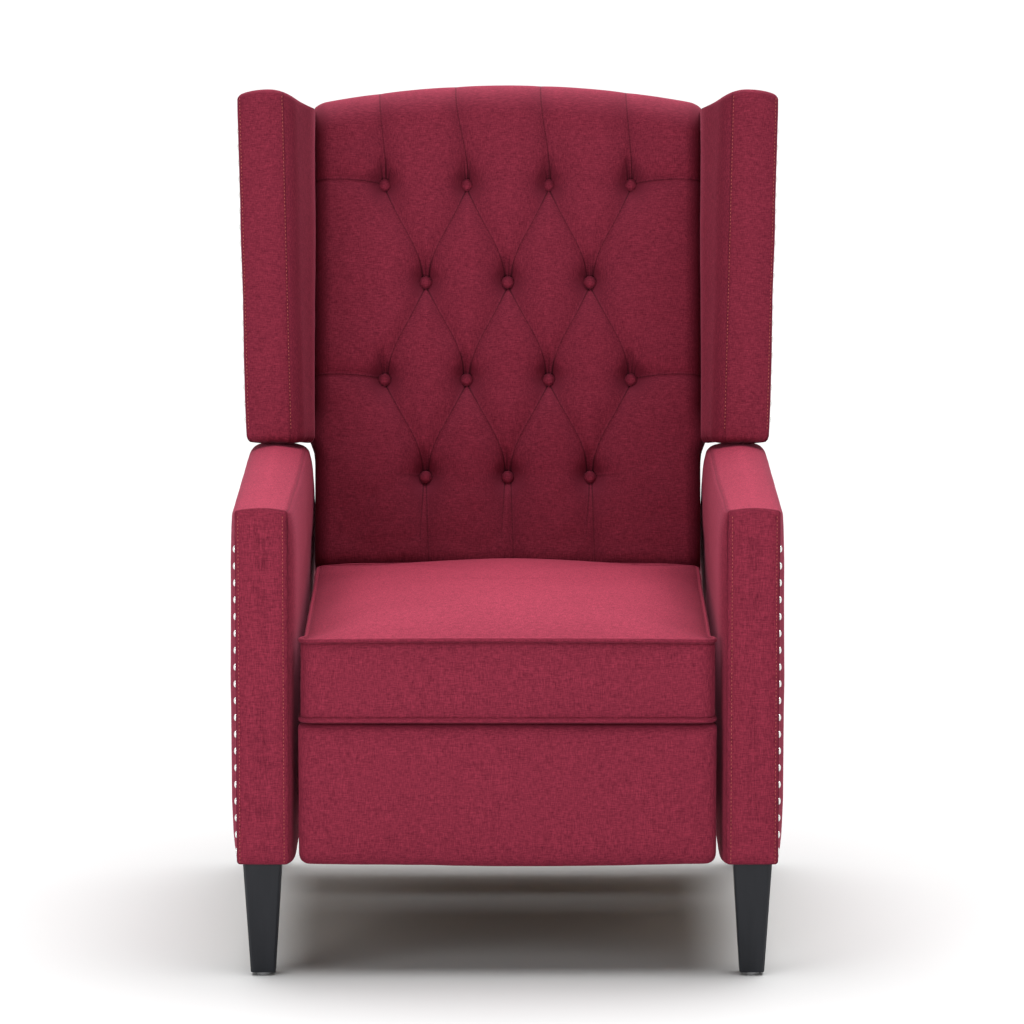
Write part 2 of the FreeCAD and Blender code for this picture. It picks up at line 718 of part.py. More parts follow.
def wing():
    z0 = WING_FOOT - 20.0
    z1 = WING_TOP + 30.0
    out = TOP_HALF - flare(z0)
    seam = out - WING_SEAM
    y = -WING_FRONT
    plan = [V(seam - 50.0, FRAME_T, z0), V(seam - 50.0, -PAD_T - 10.0, z0),
            (V(seam - 21.0, y + 24.0, z0), V(seam - 3.0, y + 2.0, z0)),
            (V((seam + out) / 2, y - 3.0, z0), V(out - 6.0, y + 1.0, z0)),
            (V(out - 1.5, y + 3.0, z0), V(out, y + 8.0, z0)), V(out, FRAME_T, z0)]
    body = prism(plan, V(flare(z0) - flare(z1), 0, z1 - z0))
    y -= 10.0
    low = WING_FOOT
    top = WING_TOP
    t = TOP_HALF
    foot = t - WING_FLARE
    front = [V(WING_IN, y, low), V(foot - 13.0, y, low),
             (V(foot - 4.0, y, low + 3.5), V(foot - 0.4, y, low + 13.0)),
             V(t, y, top - 11.0), (V(t - 1.5, y, top - 7.0), V(t - 6.0, y, top - 4.5)),
             (V(t - 22.0, y, top - 1.0), V(t - 40.0, y, top)),
             (V(t - 60.0, y, top - 5.5), V(t - 76.0, y, top - 14.0)), V(WING_IN, y, top - 23.0)]
    reach = WING_FRONT + FRAME_T + 20.0
    return lean_back(body.common(prism(front, V(0, reach, reach * WING_RISE))))


def wing_nail_spots():
    out = []
    z = WING_FOOT + 20.0
    while z < WING_TOP - 40.0:
        out.append(V(TOP_HALF - flare(z), -WING_FRONT + NAIL_SET, z))
        z += NAIL_STEP
    return out


shape = wing()
tilt = V(1.0, 0, -WING_FLARE / (WING_TOP - WING_FOOT))
tilt.normalize()
nails = []
for p in wing_nail_spots():
    nails.append(lean_back(dome(p + tilt * NAIL_GAP, tilt, NAIL_R, NAIL_H, NAIL_SIDES)))
for piece in (wing_wood(), wing_rail, top_rail):
    shape = shape.cut(piece)
pair("wing", shape)
pair("wing_frame", wing_wood())
save("right_wing_nails", nails)
save("left_wing_nails", [mirrored(n) for n in nails])

# outside back: a fabric-covered panel that wraps round the sides below the wings
BACK_SKIN = 5.0
LOWER_HALF = SEAT_HALF - 8.0


def outside_back():
    zw = WING_FOOT + 8.0
    out = TOP_HALF - WING_FLARE - 2.0
    y = FRAME_T
    half = [(LOWER_HALF, BACK_LOW), (LOWER_HALF, zw), (out, zw), (TOP_HALF - 5.0, WING_TOP - 8.0),
            (TOP_HALF - 20.0, WING_TOP - 2.0), (TOP_HALF - 50.0, WING_TOP - 2.0),
            (WING_IN + 2.0, WING_TOP - 20.0), (PAD_HALF - 4.0, TOP_SIDE - 6.0)]
    pts = [V(x, y, z) for x, z in half]
    pts.append((V(0, y, TOP_CENTRE - 6.0), V(-half[-1][0], y, half[-1][1])))
    pts += [V(-x, y, z) for x, z in half[-2::-1]]
    body = prism(pts, V(0, BACK_SKIN, 0))
    for s in (-1, 1):
        x0 = LOWER_HALF - 4.0 if s > 0 else -LOWER_HALF
        start = V(x0, 10.0, BACK_LOW + 60.0)
        body = body.fuse(Part.makeBox(4.0, FRAME_T - 10.0, zw - start.z, start))
    return lean_back(body.removeSplitter())


save("outside_back", outside_back())


# back brackets: hinge on the seat plate, cam slot round the base stud
def cam_point(t):
    # where the stud lies, seen from the back, when the chair has opened by t (0 to 1)
    a = math.radians(SWING / 2.0 - SWING * t)
    shift = (SWING_LINK * math.sin(a) - back_f, SWING_LINK * math.cos(a) - back_z)
    v = (STUD[0] - R[0] - shift[0], STUD[1] - R[1] - shift[1])
    v = turn(v, -RECLINE * t)
    return (R[0] + v[0], R[1] + v[1])


def band(points, half, x0, x1):
    # a strip of constant width along arcs through the points, with round ends
    solid = None
    for i in range(0, len(points) - 2, 2):
        a, m, b = points[i], points[i + 1], points[i + 2]
        circle = Part.Arc(V(*a, 0), V(*m, 0), V(*b, 0)).toShape().Curve
        c = (circle.Center.x, circle.Center.y)
        outer = []
        inner = []
        for p in (a, m, b):
            d = math.hypot(p[0] - c[0], p[1] - c[1])
            u = ((p[0] - c[0]) / d, (p[1] - c[1]) / d)
            outer.append((p[0] + u[0] * half, p[1] + u[1] * half))
            inner.append((p[0] - u[0] * half, p[1] - u[1] * half))
        piece = side_plate([outer[0], (outer[1], outer[2]), inner[2], (inner[1], inner[0])], x0, x1)
        for p in (a, b):
            piece = piece.fuse(rod(p, half, x0, x1))
        solid = piece if solid is None else solid.fuse(piece)
    return solid


def back_bracket():
    # hangs forward and down from the hinge, and stays below the seat when the back lies down
    x0 = POST_X[1]
    x1 = x0 + STEEL
    path = [cam_point(t) for t in (0.0, 0.25, 0.5, 0.75, 1.0)]
    low = turn((-32.0, -18.0), -RECLINE)
    tip = turn((-140.0, -18.0), -RECLINE)
    web = side_plate([(R[0] - 12, R[1] - 4), (R[0] + low[0], R[1] + low[1]), (R[0] + tip[0], R[1] + tip[1]),
                      path[0], path[2], path[4], (R[0] + 52, R[1] - 24), (R[0] + 60, R[1] + 44),
                      (R[0] - 4, R[1] + 13)], x0, x1)
    body = band(path, CAM_BAND, x0, x1).fuse(web).fuse(rod(R, 14.0, x0, x1))
    body = body.fuse(up_box(x0, x1, 6, FRAME_T - 6, BACK_LOW + 4, BACK_LOW + 130))
    window = rounded([(R[0] - 26, R[1] - 50), (R[0] - 50, R[1] - 92), (R[0] + 18, R[1] - 90),
                      (R[0] + 26, R[1] - 50)], 9.0)
    body = body.cut(side_plate(window, x0 - 1, x1 + 1))
    body = body.cut(band(path, STUD_R + CAM_PLAY, x0 - 1, x1 + 1))
    body = body.cut(rod(R, PIN_R + RUN, x0 - 1, x1 + 1))
    return body.removeSplitter()


pair("back_bracket", back_bracket())
worst = 0.0
for i in range(41):
    t = i / 40.0
    p = cam_point(t)
    lo = 0 if t <= 0.5 else 2
    ts = (0.0, 0.25, 0.5, 0.75, 1.0)
    arc = Part.Arc(*[V(*cam_point(ts[lo + j]), 0) for j in range(3)]).toShape().Curve
    worst = max(worst, abs(math.hypot(p[0] - arc.Center.x, p[1] - arc.Center.y) - arc.Radius))
print("cam slot strays from its arcs by", round(worst, 3))

# footrest linkage: L1 rear link, L2 outer link, L3 front link and bracket, L4 inner link
OPEN_G = 2.2
OPEN_D = 0.6
W = 8.0
front = link([B, C], W + 1, *LAYER[2], [(*B, PIN_R + RUN), (*C, PIN_R), (*M, PIN_R)])
save("ottoman_front_links", both(front))
inner = link([C, E], W, *LAYER[3], [(*C, PIN_R + RUN), (*E, PIN_R + RUN)])
save("ottoman_inner_links", both(inner))
outer = link([D, M, G], W, *LAYER[1], []).fuse(rod(G, W + 2, *LAYER[1]))
for p, r in ((D, PIN_R), (M, PIN_R + RUN), (G, PIN_R + OPEN_G)):
    outer = outer.cut(rod(p, r, LAYER[1][0] - 1, LAYER[1][1] + 1))
save("ottoman_outer_links", both(outer))
rear = link([A, D], W, *LAYER[0], [(*A, PIN_R + RUN), (*D, PIN_R + OPEN_D)])
spot = (A[0] + 0.74 * (D[0] - A[0]), A[1] + 0.74 * (D[1] - A[1]))
tube = rod(spot, 8.0, -LAYER[0][0], LAYER[0][0])
tube = tube.cut(rod(spot, 6.5, -LAYER[0][0] - 1, LAYER[0][0] + 1))
save("ottoman_rear_links", both(rear) + [tube])


def headed(p, x0, x1, head0, head1):
    return rod(p, PIN_R, x0, x1).fuse(rod(p, 7.0, head0, head1)).removeSplitter()


c_pin = headed(C, LAYER[2][0], LAYER[3][1] + 1.8, LAYER[3][1] + 0.1, LAYER[3][1] + 1.9)
m_pin = headed(M, LAYER[1][0], LAYER[2][1] + 1.8, LAYER[2][1], LAYER[2][1] + 1.8)
save("front_link_pins", both(c_pin) + both(m_pin))
d_pin = headed(D, LAYER[0][0] - 2.0, LAYER[1][1], LAYER[0][0] - 2.0, LAYER[0][0] - 0.2)
save("outer_link_pins", both(d_pin))
e_pin = headed(E, LAYER[2][0], LAYER[3][1] + 1.8, LAYER[3][1] + 0.1, LAYER[3][1] + 1.9)
g_pin = headed(G, LAYER[1][0] - 1.8, LAYER[2][1], LAYER[1][0] - 1.9, LAYER[1][0] - 0.1)
save("footrest_pins", both(e_pin) + both(g_pin))

# footrest: upholstered pad on a board, carried by two steel brackets
FOOT_Z = (LEG_H, RAIL_Z[1])
BOARD_F = (24.0, 33.5)
FOOT_R = 14.0


def foot_outline(f, inset):
    h = SEAT_HALF - inset
    lo = FOOT_Z[0] + inset
    hi = FOOT_Z[1] - inset
    r = FOOT_R - inset * 0.4
    pts = []
    for p in rounded([(-h, lo), (h, lo), (h, hi), (-h, hi)], [r, r, 4.0, 4.0]):
        if isinstance(p[0], tuple):
            pts.append((at(p[0][0], f, p[0][1]), at(p[1][0], f, p[1][1])))
        else:
            pts.append(at(p[0], f, p[1]))
    return wire(pts)


stations = ((BOARD_F[0], 1.5), (19.0, 0.0), (9.0, 0.0), (4.5, 4.0), (2.0, 12.0))
pad = Part.makeLoft([foot_outline(f, inset) for f, inset in stations], True, True)
save("footrest_pad", pad)
save("footrest_board", Part.Face(foot_outline(BOARD_F[0], 8.0)).extrude(V(0, BOARD_F[1] - BOARD_F[0], 0)))


def foot_bracket():
    x0, x1 = LAYER[2]
    f = BOARD_F[1]
    low = E[1] - 21.5
    web = side_plate(rounded([(f, low), (f, G[1] + 11), (G[0] + 4, G[1] + 11), (G[0] + 12, G[1] - 9),
                              (E[0] + 11, E[1] + 8), (E[0] + 11, E[1] - 9), (E[0] - 1, E[1] - 14),
                              (E[0] - 11, low)], [0, 0, 8, 10, 9, 9, 5, 5]), x0, x1)
    flange = box(x1 - 36, x1, f, f + LINK_T, low, E[1] + 24.5)
    body = web.fuse(flange)
    for p in (E, G):
        body = body.cut(rod(p, PIN_R, x0 - 1, x1 + 1))
    return body.removeSplitter()


save("footrest_brackets", both(foot_bracket()))
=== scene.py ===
import math

import bmesh
import bpy
import numpy as np
from mathutils import Matrix, Vector, kdtree, noise


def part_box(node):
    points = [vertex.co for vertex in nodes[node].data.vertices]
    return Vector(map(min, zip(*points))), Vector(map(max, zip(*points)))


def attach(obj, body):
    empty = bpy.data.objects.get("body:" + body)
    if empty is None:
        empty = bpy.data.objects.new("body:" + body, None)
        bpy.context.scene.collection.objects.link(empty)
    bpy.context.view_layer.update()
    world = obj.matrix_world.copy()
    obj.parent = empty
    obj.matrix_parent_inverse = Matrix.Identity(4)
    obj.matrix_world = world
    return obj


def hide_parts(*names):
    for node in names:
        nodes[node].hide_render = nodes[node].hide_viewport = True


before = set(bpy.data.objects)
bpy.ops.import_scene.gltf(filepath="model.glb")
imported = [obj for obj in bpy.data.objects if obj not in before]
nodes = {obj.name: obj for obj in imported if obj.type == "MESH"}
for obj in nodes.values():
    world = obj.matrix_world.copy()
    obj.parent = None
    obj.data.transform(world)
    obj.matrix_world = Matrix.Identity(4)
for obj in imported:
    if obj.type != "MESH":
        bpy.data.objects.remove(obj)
bpy.context.view_layer.update()


# Hidden timber: kiln-dried pine and plywood that carries the arms, the seat and the back.
# It shows only underneath and between the parts when the chair is open.
def new_material(name):
    material = bpy.data.materials.new(name)
    material.use_nodes = True
    return material, material.node_tree, material.node_tree.nodes["Principled BSDF"]


def set_inputs(node, **inputs):
    # a socket's name is written with _ for each space
    for key, value in inputs.items():
        node.inputs[key.replace("_", " ")].default_value = value


def add_node(tree, kind, **inputs):
    made = tree.nodes.new(kind)
    set_inputs(made, **inputs)
    return made


def wire(tree, *joins):
    # each join is a node, its output, the next node and its input
    for start, output, end, into in joins:
        tree.links.new(start.outputs[output], end.inputs[into])


def finish_nodes(material, slot, *names):
    # gives CAD solids that keep their shape their finish
    for name in names:
        nodes[name].data.materials.clear()
        nodes[name].data.materials.append(material)


def wood_material(name, pale, dark, roughness, along):
    # rings are noise drawn out along the board
    material, tree, shader = new_material(name)
    place = tree.nodes.new("ShaderNodeTexCoord")
    stretch = add_node(tree, "ShaderNodeMapping", Scale=along)
    grain = add_node(tree, "ShaderNodeTexNoise", Scale=60.0, Detail=6.0, Roughness=0.62, Distortion=0.4)
    rings = tree.nodes.new("ShaderNodeValToRGB")
    for stop, position, colour in zip(rings.color_ramp.elements, (0.32, 0.68), (dark, pale)):
        stop.position = position
        stop.color = (*colour, 1)
    bump = add_node(tree, "ShaderNodeBump", Strength=0.25, Distance=0.0004)
    wire(tree, (place, "Object", stretch, "Vector"), (stretch, "Vector", grain, "Vector"),
         (grain, "Fac", rings, "Fac"), (grain, "Fac", bump, "Height"),
         (rings, "Color", shader, "Base Color"), (bump, "Normal", shader, "Normal"))
    set_inputs(shader, Roughness=roughness)
    return material


pine = wood_material("pine", (0.56, 0.37, 0.19), (0.40, 0.24, 0.11), 0.6, (0.12, 1.0, 1.0))
finish_nodes(pine, "timber", "left_arm_frame", "right_arm_frame", "front_stretcher", "rear_stretcher",
             "left_seat_rail", "right_seat_rail", "seat_front_rail", "seat_rear_rail",
             "back_wing_rail", "back_top_rail", "back_bottom_rail",
             "left_wing_frame", "right_wing_frame", "footrest_board")


# Arm covers: padded boards in heathered linen, sewn from a front panel and one long strip.
# The strip runs up the outer side, over the arm and down to the seat, and is stapled underneath.
def rounded_loop(corners, radii, runs, arc=7):
    # a closed outline: each corner is a bend of arc points, each run the points between two bends
    corners = [np.array(c, float) for c in corners]
    count = len(corners)
    starts = []
    ends = []
    for i, corner in enumerate(corners):
        before = corners[i - 1] - corner
        after = corners[(i + 1) % count] - corner
        a = np.linalg.norm(before)
        b = np.linalg.norm(after)
        before = before / a
        after = after / b
        half = math.acos(max(-1.0, min(1.0, float(before @ after)))) / 2
        cut = min(radii[i] / math.tan(half), a * 0.48, b * 0.48)
        starts.append(corner + before * cut)
        ends.append(corner + after * cut)
    out = []
    for i, corner in enumerate(corners):
        for t in np.linspace(0, 1, arc):
            out.append((1 - t) ** 2 * starts[i] + 2 * t * (1 - t) * corner + t ** 2 * ends[i])
        following = starts[(i + 1) % count]
        for k in range(runs[i]):
            share = (k + 1) / (runs[i] + 1)
            out.append(ends[i] * (1 - share) + following * share)
    return np.array(out)


def drawn_in(corners, inset):
    # the outline of straight edges moved inwards by inset; corners run anticlockwise
    corners = [np.array(c, float) for c in corners]
    edges = []
    for a, b in zip(corners, corners[1:] + corners[:1]):
        along = (b - a) / np.linalg.norm(b - a)
        inward = np.array([-along[1], along[0]])
        edges.append((a + inward * inset, along))
    out = []
    for i, (q, w) in enumerate(edges):
        p, u = edges[i - 1]
        cross = u[0] * w[1] - u[1] * w[0]
        if abs(cross) < 1e-6:
            # two edges in one line
            out.append(q)
            continue
        reach = ((q - p)[0] * w[1] - (q - p)[1] * w[0]) / cross
        out.append(p + u * reach)
    return out


def placed(name, data):
    # puts a mesh, a lamp or the camera in the scene
    piece = bpy.data.objects.new(name, data)
    bpy.context.collection.objects.link(piece)
    return piece


def sewn(name, points, faces, merge=0.00001):
    # a closed piece from its points and faces
    mesh = bpy.data.meshes.new(name)
    mesh.from_pydata(points, [], faces)
    settle(mesh, merge)
    return placed(name, mesh)


def bands(rows, count, base=0, closed=False):
    # the faces between rows of points that each run round; closed joins the last row to the first
    faces = []
    for i in range(rows if closed else rows - 1):
        row = base + i * count
        following = base + (i + 1) % rows * count
        for j in range(count):
            k = (j + 1) % count
            faces.append((row + j, row + k, following + k, following + j))
    return faces


def skin(name, rings):
    # a closed cover through rings of points, each end shut by a fan
    rings = np.array(rings)
    rows, count = rings.shape[:2]
    points = [tuple(p) for p in rings.reshape(-1, 3)]
    faces = bands(rows, count)
    for row in (0, rows - 1):
        middle = len(points)
        points.append(tuple(rings[row].mean(axis=0)))
        for j in range(count):
            faces.append((row * count + j, row * count + (j + 1) % count, middle))
    return sewn(name, points, faces)


def settle(mesh, merge=0.00001):
    # merges doubles, turns faces outwards and shades the surface smooth
    work = bmesh.new()
    work.from_mesh(mesh)
    bmesh.ops.remove_doubles(work, verts=work.verts, dist=merge)
    bmesh.ops.recalc_face_normals(work, faces=work.faces)
    work.to_mesh(mesh)
    work.free()
    mesh.shade_smooth()


def crumple(piece, size, height, seed):
    # slow waves, as padding gives a stretched cover
    mesh = piece.data
    normals = [v.normal.copy() for v in mesh.vertices]
    shift = Vector((seed * 3.1, seed * 1.7, seed * 0.9))
    for v, normal in zip(mesh.vertices, normals):
        v.co += normal * (noise.noise(v.co / size + shift) * height)
    mesh.update()


def flipped(piece, name):
    # the left-hand twin of a right-hand piece
    mesh = piece.data.copy()
    mesh.transform(Matrix.Scale(-1, 4, (1, 0, 0)))
    settle(mesh)
    return placed(name, mesh)


def reckon(tree, operation, *inputs):
    # a Math node on numbers and (node, output) pairs
    made = tree.nodes.new("ShaderNodeMath")
    made.operation = operation
    for into, value in enumerate(inputs):
        if isinstance(value, tuple):
            wire(tree, (*value, made, into))
        else:
            made.inputs[into].default_value = value
    return made


def new_group(name, inputs, outputs):
    # a shader group with plain number sockets, and its two end nodes
    group = bpy.data.node_groups.new(name, "ShaderNodeTree")
    for label, start in inputs:
        socket = group.interface.new_socket(label, in_out="INPUT", socket_type="NodeSocketFloat")
        socket.default_value = start
    for label in outputs:
        group.interface.new_socket(label, in_out="OUTPUT", socket_type="NodeSocketFloat")
    return group, group.nodes.new("NodeGroupInput"), group.nodes.new("NodeGroupOutput")


def weave_group():
    # tone and height of a plain weave whose yarns run with the object's axes, with sparse dark slubs
    group, source, result = new_group("linen_weave", (("Yarn", 1050.0), ("Slub", 820.0)),
                                      ("Tone", "Height", "Dark"))
    place = group.nodes.new("ShaderNodeTexCoord")
    facing = group.nodes.new("ShaderNodeVectorMath")
    facing.operation = "ABSOLUTE"
    away = group.nodes.new("ShaderNodeVectorMath")
    away.operation = "SUBTRACT"
    away.inputs[0].default_value = (1, 1, 1)
    weights = group.nodes.new("ShaderNodeSeparateXYZ")
    wire(group, (place, "Normal", facing, 0), (facing, 0, away, 1), (away, 0, weights, 0))

    def threads(scale_from, along):
        # noise drawn out along each axis in turn, each shown where the surface runs that way
        total = None
        for axis in range(3):
            scale = [1.0, 1.0, 1.0]
            scale[axis] = along
            stretch = add_node(group, "ShaderNodeMapping", Scale=scale)
            yarn = add_node(group, "ShaderNodeTexNoise", Detail=2.0, Roughness=0.6)
            wire(group, (place, "Object", stretch, "Vector"), (stretch, "Vector", yarn, "Vector"),
                 (source, scale_from, yarn, "Scale"))
            share = reckon(group, "MULTIPLY", (yarn, "Fac"), (weights, axis))
            total = reckon(group, "ADD", (total, 0), (share, 0)) if total else share
        return reckon(group, "MULTIPLY", (total, 0), 0.5)

    yarns = threads("Yarn", 0.13)
    slubs = threads("Slub", 0.08)
    spread = add_node(group, "ShaderNodeMapRange", From_Min=0.34, From_Max=0.66)
    dark = add_node(group, "ShaderNodeMapRange", From_Min=0.575, From_Max=0.69)
    wire(group, (yarns, 0, spread, "Value"), (slubs, 0, dark, "Value"), (spread, "Result", result, "Tone"),
         (yarns, 0, result, "Height"), (dark, "Result", result, "Dark"))
    return group


def colour_mix(tree, factor, first, second):
    # between two colours; factor is a (node, output) pair, and so may first be
    made = tree.nodes.new("ShaderNodeMix")
    made.data_type = "RGBA"
    wire(tree, (*factor, made, "Factor"))
    if len(first) == 2:
        wire(tree, (*first, made, "A"))
    else:
        set_inputs(made, A=(*first, 1))
    set_inputs(made, B=(*second, 1))
    return made


def linen_material(name, folds=()):
    # folds are named attributes (offset from a fold or seam line in metres, strength); each is drawn as a
    # bump and as painted shade, a dark line along the fold where shade would fall
    material, tree, shader = new_material(name)
    weave = tree.nodes.new("ShaderNodeGroup")
    weave.node_tree = weave_nodes
    cloth = colour_mix(tree, (weave, "Tone"), (0.136, 0.0110, 0.0265), (0.348, 0.035, 0.069))
    speck = reckon(tree, "MULTIPLY", (weave, "Dark"), 0.22)
    colour = colour_mix(tree, (speck, 0), (cloth, "Result"), (0.075, 0.008, 0.022))
    normal = add_node(tree, "ShaderNodeBump", Strength=0.35, Distance=0.0004)
    wire(tree, (weave, "Height", normal, "Height"))
    for label in folds:
        at_fold = tree.nodes.new("ShaderNodeAttribute")
        at_fold.attribute_name = label
        parts = tree.nodes.new("ShaderNodeSeparateXYZ")
        crease = tree.nodes.new("ShaderNodeGroup")
        crease.node_tree = crease_shade_nodes
        dent = add_node(tree, "ShaderNodeBump", Strength=0.8, Distance=0.0016)
        wire(tree, (at_fold, "Vector", parts, 0), (parts, "X", crease, "Offset"),
             (parts, "Y", crease, "Strength"), (crease, "Height", dent, "Height"),
             (normal, "Normal", dent, "Normal"))
        # painted shade: near the fold line the cloth's colour is mixed towards near black
        colour = colour_mix(tree, (crease, "Line"), (colour, "Result"), (0.030, 0.002, 0.006))
        normal = dent
    wire(tree, (colour, "Result", shader, "Base Color"), (normal, "Normal", shader, "Normal"))
    set_inputs(shader, Roughness=0.9, Specular_IOR_Level=0.15, Sheen_Weight=0.12, Sheen_Roughness=0.4,
               Sheen_Tint=(1.0, 0.24, 0.38, 1))
    return material


def crease_shade_group():
    # a thin line of painted shade and a rounded step for the bump, from the offset to a fold line
    group, source, result = new_group("crease", (("Offset", 0.0), ("Strength", 0.0)), ("Line", "Height"))

    def bell(width, peak):
        # peak * exp(-(offset / width) ** 2) * strength
        across = reckon(group, "MULTIPLY", (source, "Offset"), 1 / width)
        square = reckon(group, "POWER", (across, 0), 2.0)
        fall = reckon(group, "MULTIPLY", (square, 0), -1.0)
        curve = reckon(group, "EXPONENT", (fall, 0))
        tall = reckon(group, "MULTIPLY", (curve, 0), peak)
        return reckon(group, "MULTIPLY", (tall, 0), (source, "Strength"))

    # the first bell is painted shade along the fold, the second the height for the bump
    wire(group, (bell(0.00095, 0.86), 0, result, "Line"), (bell(0.0022, -1.0), 0, result, "Height"))
    return group


weave_nodes = weave_group()
crease_shade_nodes = crease_shade_group()
linen = linen_material("crimson_linen")


def dress(piece, material, slot, body, *stands_for):
    # finishes a new piece, lets it ride on its body, and hides the CAD solids it stands for
    piece.data.materials.clear()
    piece.data.materials.append(material)
    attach(piece, body)
    if stands_for:
        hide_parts(*stands_for)
    return piece


def keep_marks(piece, name, pairs):
    # for each point its offset from a seam or fold and a strength, from which the material draws a crease: a
    # bump and a dark line of painted shade
    values = np.zeros((len(pairs), 3), np.float32)
    values[:, :2] = pairs
    piece.data.attributes.new(name, "FLOAT_VECTOR", "POINT").data.foreach_set("vector", values.ravel())


def mark(piece, name, places, pairs):
    # gives each point of the cover the pair of the place it was made from
    tree = kdtree.KDTree(len(places))
    for i, p in enumerate(places):
        tree.insert(p, i)
    tree.balance()
    keep_marks(piece, name, [pairs[tree.find(v.co)[1]] for v in piece.data.vertices])


def ease(value):
    # a smooth step from 0 to 1
    value = max(0.0, min(1.0, value))
    return value * value * (3 - 2 * value)


arm_low, arm_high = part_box("right_arm_cover")
arm_front = arm_low.y
arm_rear = arm_high.y
arm_in = arm_low.x
arm_top = arm_high.z
arm_foot = arm_low.z
panel_in = arm_in + 0.0080
panel_out = arm_in + 0.0704
seat_line = 0.428
slope_run = 0.105
knee = arm_rear - slope_run
rake = 0.090 / slope_run
arm_arc = 9
arm_runs = (6, 14, 14, 26, 12, 20)
arm_seam_at = 4 * arm_arc + sum(arm_runs[:4]) + 4
# how far the padding stands out at each drop below the arm's top, in pairs of (drops, swells)
swell_inside = ([0, 0.004, 0.010, 0.030, 0.060, 0.100, 0.142, 0.180, 0.250],
                [0.0032, 0.0052, 0.0074, 0.0100, 0.0107, 0.0109, 0.0098, 0.0082, 0.0076])
swell_beside_seat = ([0, 0.010, 0.030, 0.060, 0.100, 0.118], [0.0030, 0.0026, 0.0021, 0.0014, 0.0006, 0.0])
swell_at_rear = ([0, 0.010, 0.030, 0.060, 0.100, 0.120], [0.0, 0.0008, 0.0014, 0.0014, 0.0008, 0.0])
swell_outside = ([0, 0.006, 0.015, 0.030, 0.060, 0.200, 0.360, 0.405, 0.425],
                 [0.0026, 0.0040, 0.0047, 0.0054, 0.0063, 0.0076, 0.0068, 0.0048, 0.0018])


def arm_crest(y):
    # the arm's top sinks a little under the wing and drops behind the knee, with a soft bend
    run = 0.014
    sunk = 0.0012 * ease((y - arm_front - 0.500) / 0.080)
    return arm_top + 0.0015 - sunk - rake * run * math.log1p(math.exp((y - knee) / run))


def arm_ring(y, inset):
    # the front panel is narrow and flat; behind it the padding swells to both sides
    top = arm_crest(y)
    run = max(0.0, y - arm_front - 0.0018)
    inner = 1 - math.exp(-run / 0.014)
    outer = ease((run - 0.005) / 0.028)
    along = ease((run - 0.06) / 0.22)
    rear = ease((run - 0.40) / 0.20)
    middle = (arm_foot + top) / 2
    corners = [(panel_in, arm_foot + 0.0005), (panel_out, arm_foot + 0.0005), (panel_out, middle),
               (panel_out, top), (panel_in, top), (panel_in, seat_line)]
    # the two large radii leave a straight side straight
    bends = (0.005, 0.005, 0.4, 0.0035 + 0.0065 * outer, 0.003 + 0.003 * inner, 0.4)
    radii = [max(bend - inset, 0.0015) for bend in bends]
    loop = rounded_loop(drawn_in(corners, inset), radii, arm_runs, arm_arc)
    for p in loop:
        drop = top - p[1]
        near_in = ease(1 - (p[0] - panel_in - inset) / 0.024)
        near_out = ease(1 - (panel_out - inset - p[0]) / 0.024)
        across = (p[0] - (panel_in + panel_out) / 2) / ((panel_out - panel_in) / 2)
        p[0] -= inner * near_in * np.interp(drop, *swell_inside)
        further = along * np.interp(drop, *swell_beside_seat) + rear * np.interp(drop, *swell_at_rear)
        p[0] -= near_in * further
        p[0] += outer * near_out * np.interp(drop, *swell_outside)
        if drop < 0.03 + inset:
            p[1] += (0.0036 + 0.0044 * ease(run / 0.30)) * max(0.0, 1 - across ** 2)
    return [(p[0], y, p[1]) for p in loop]


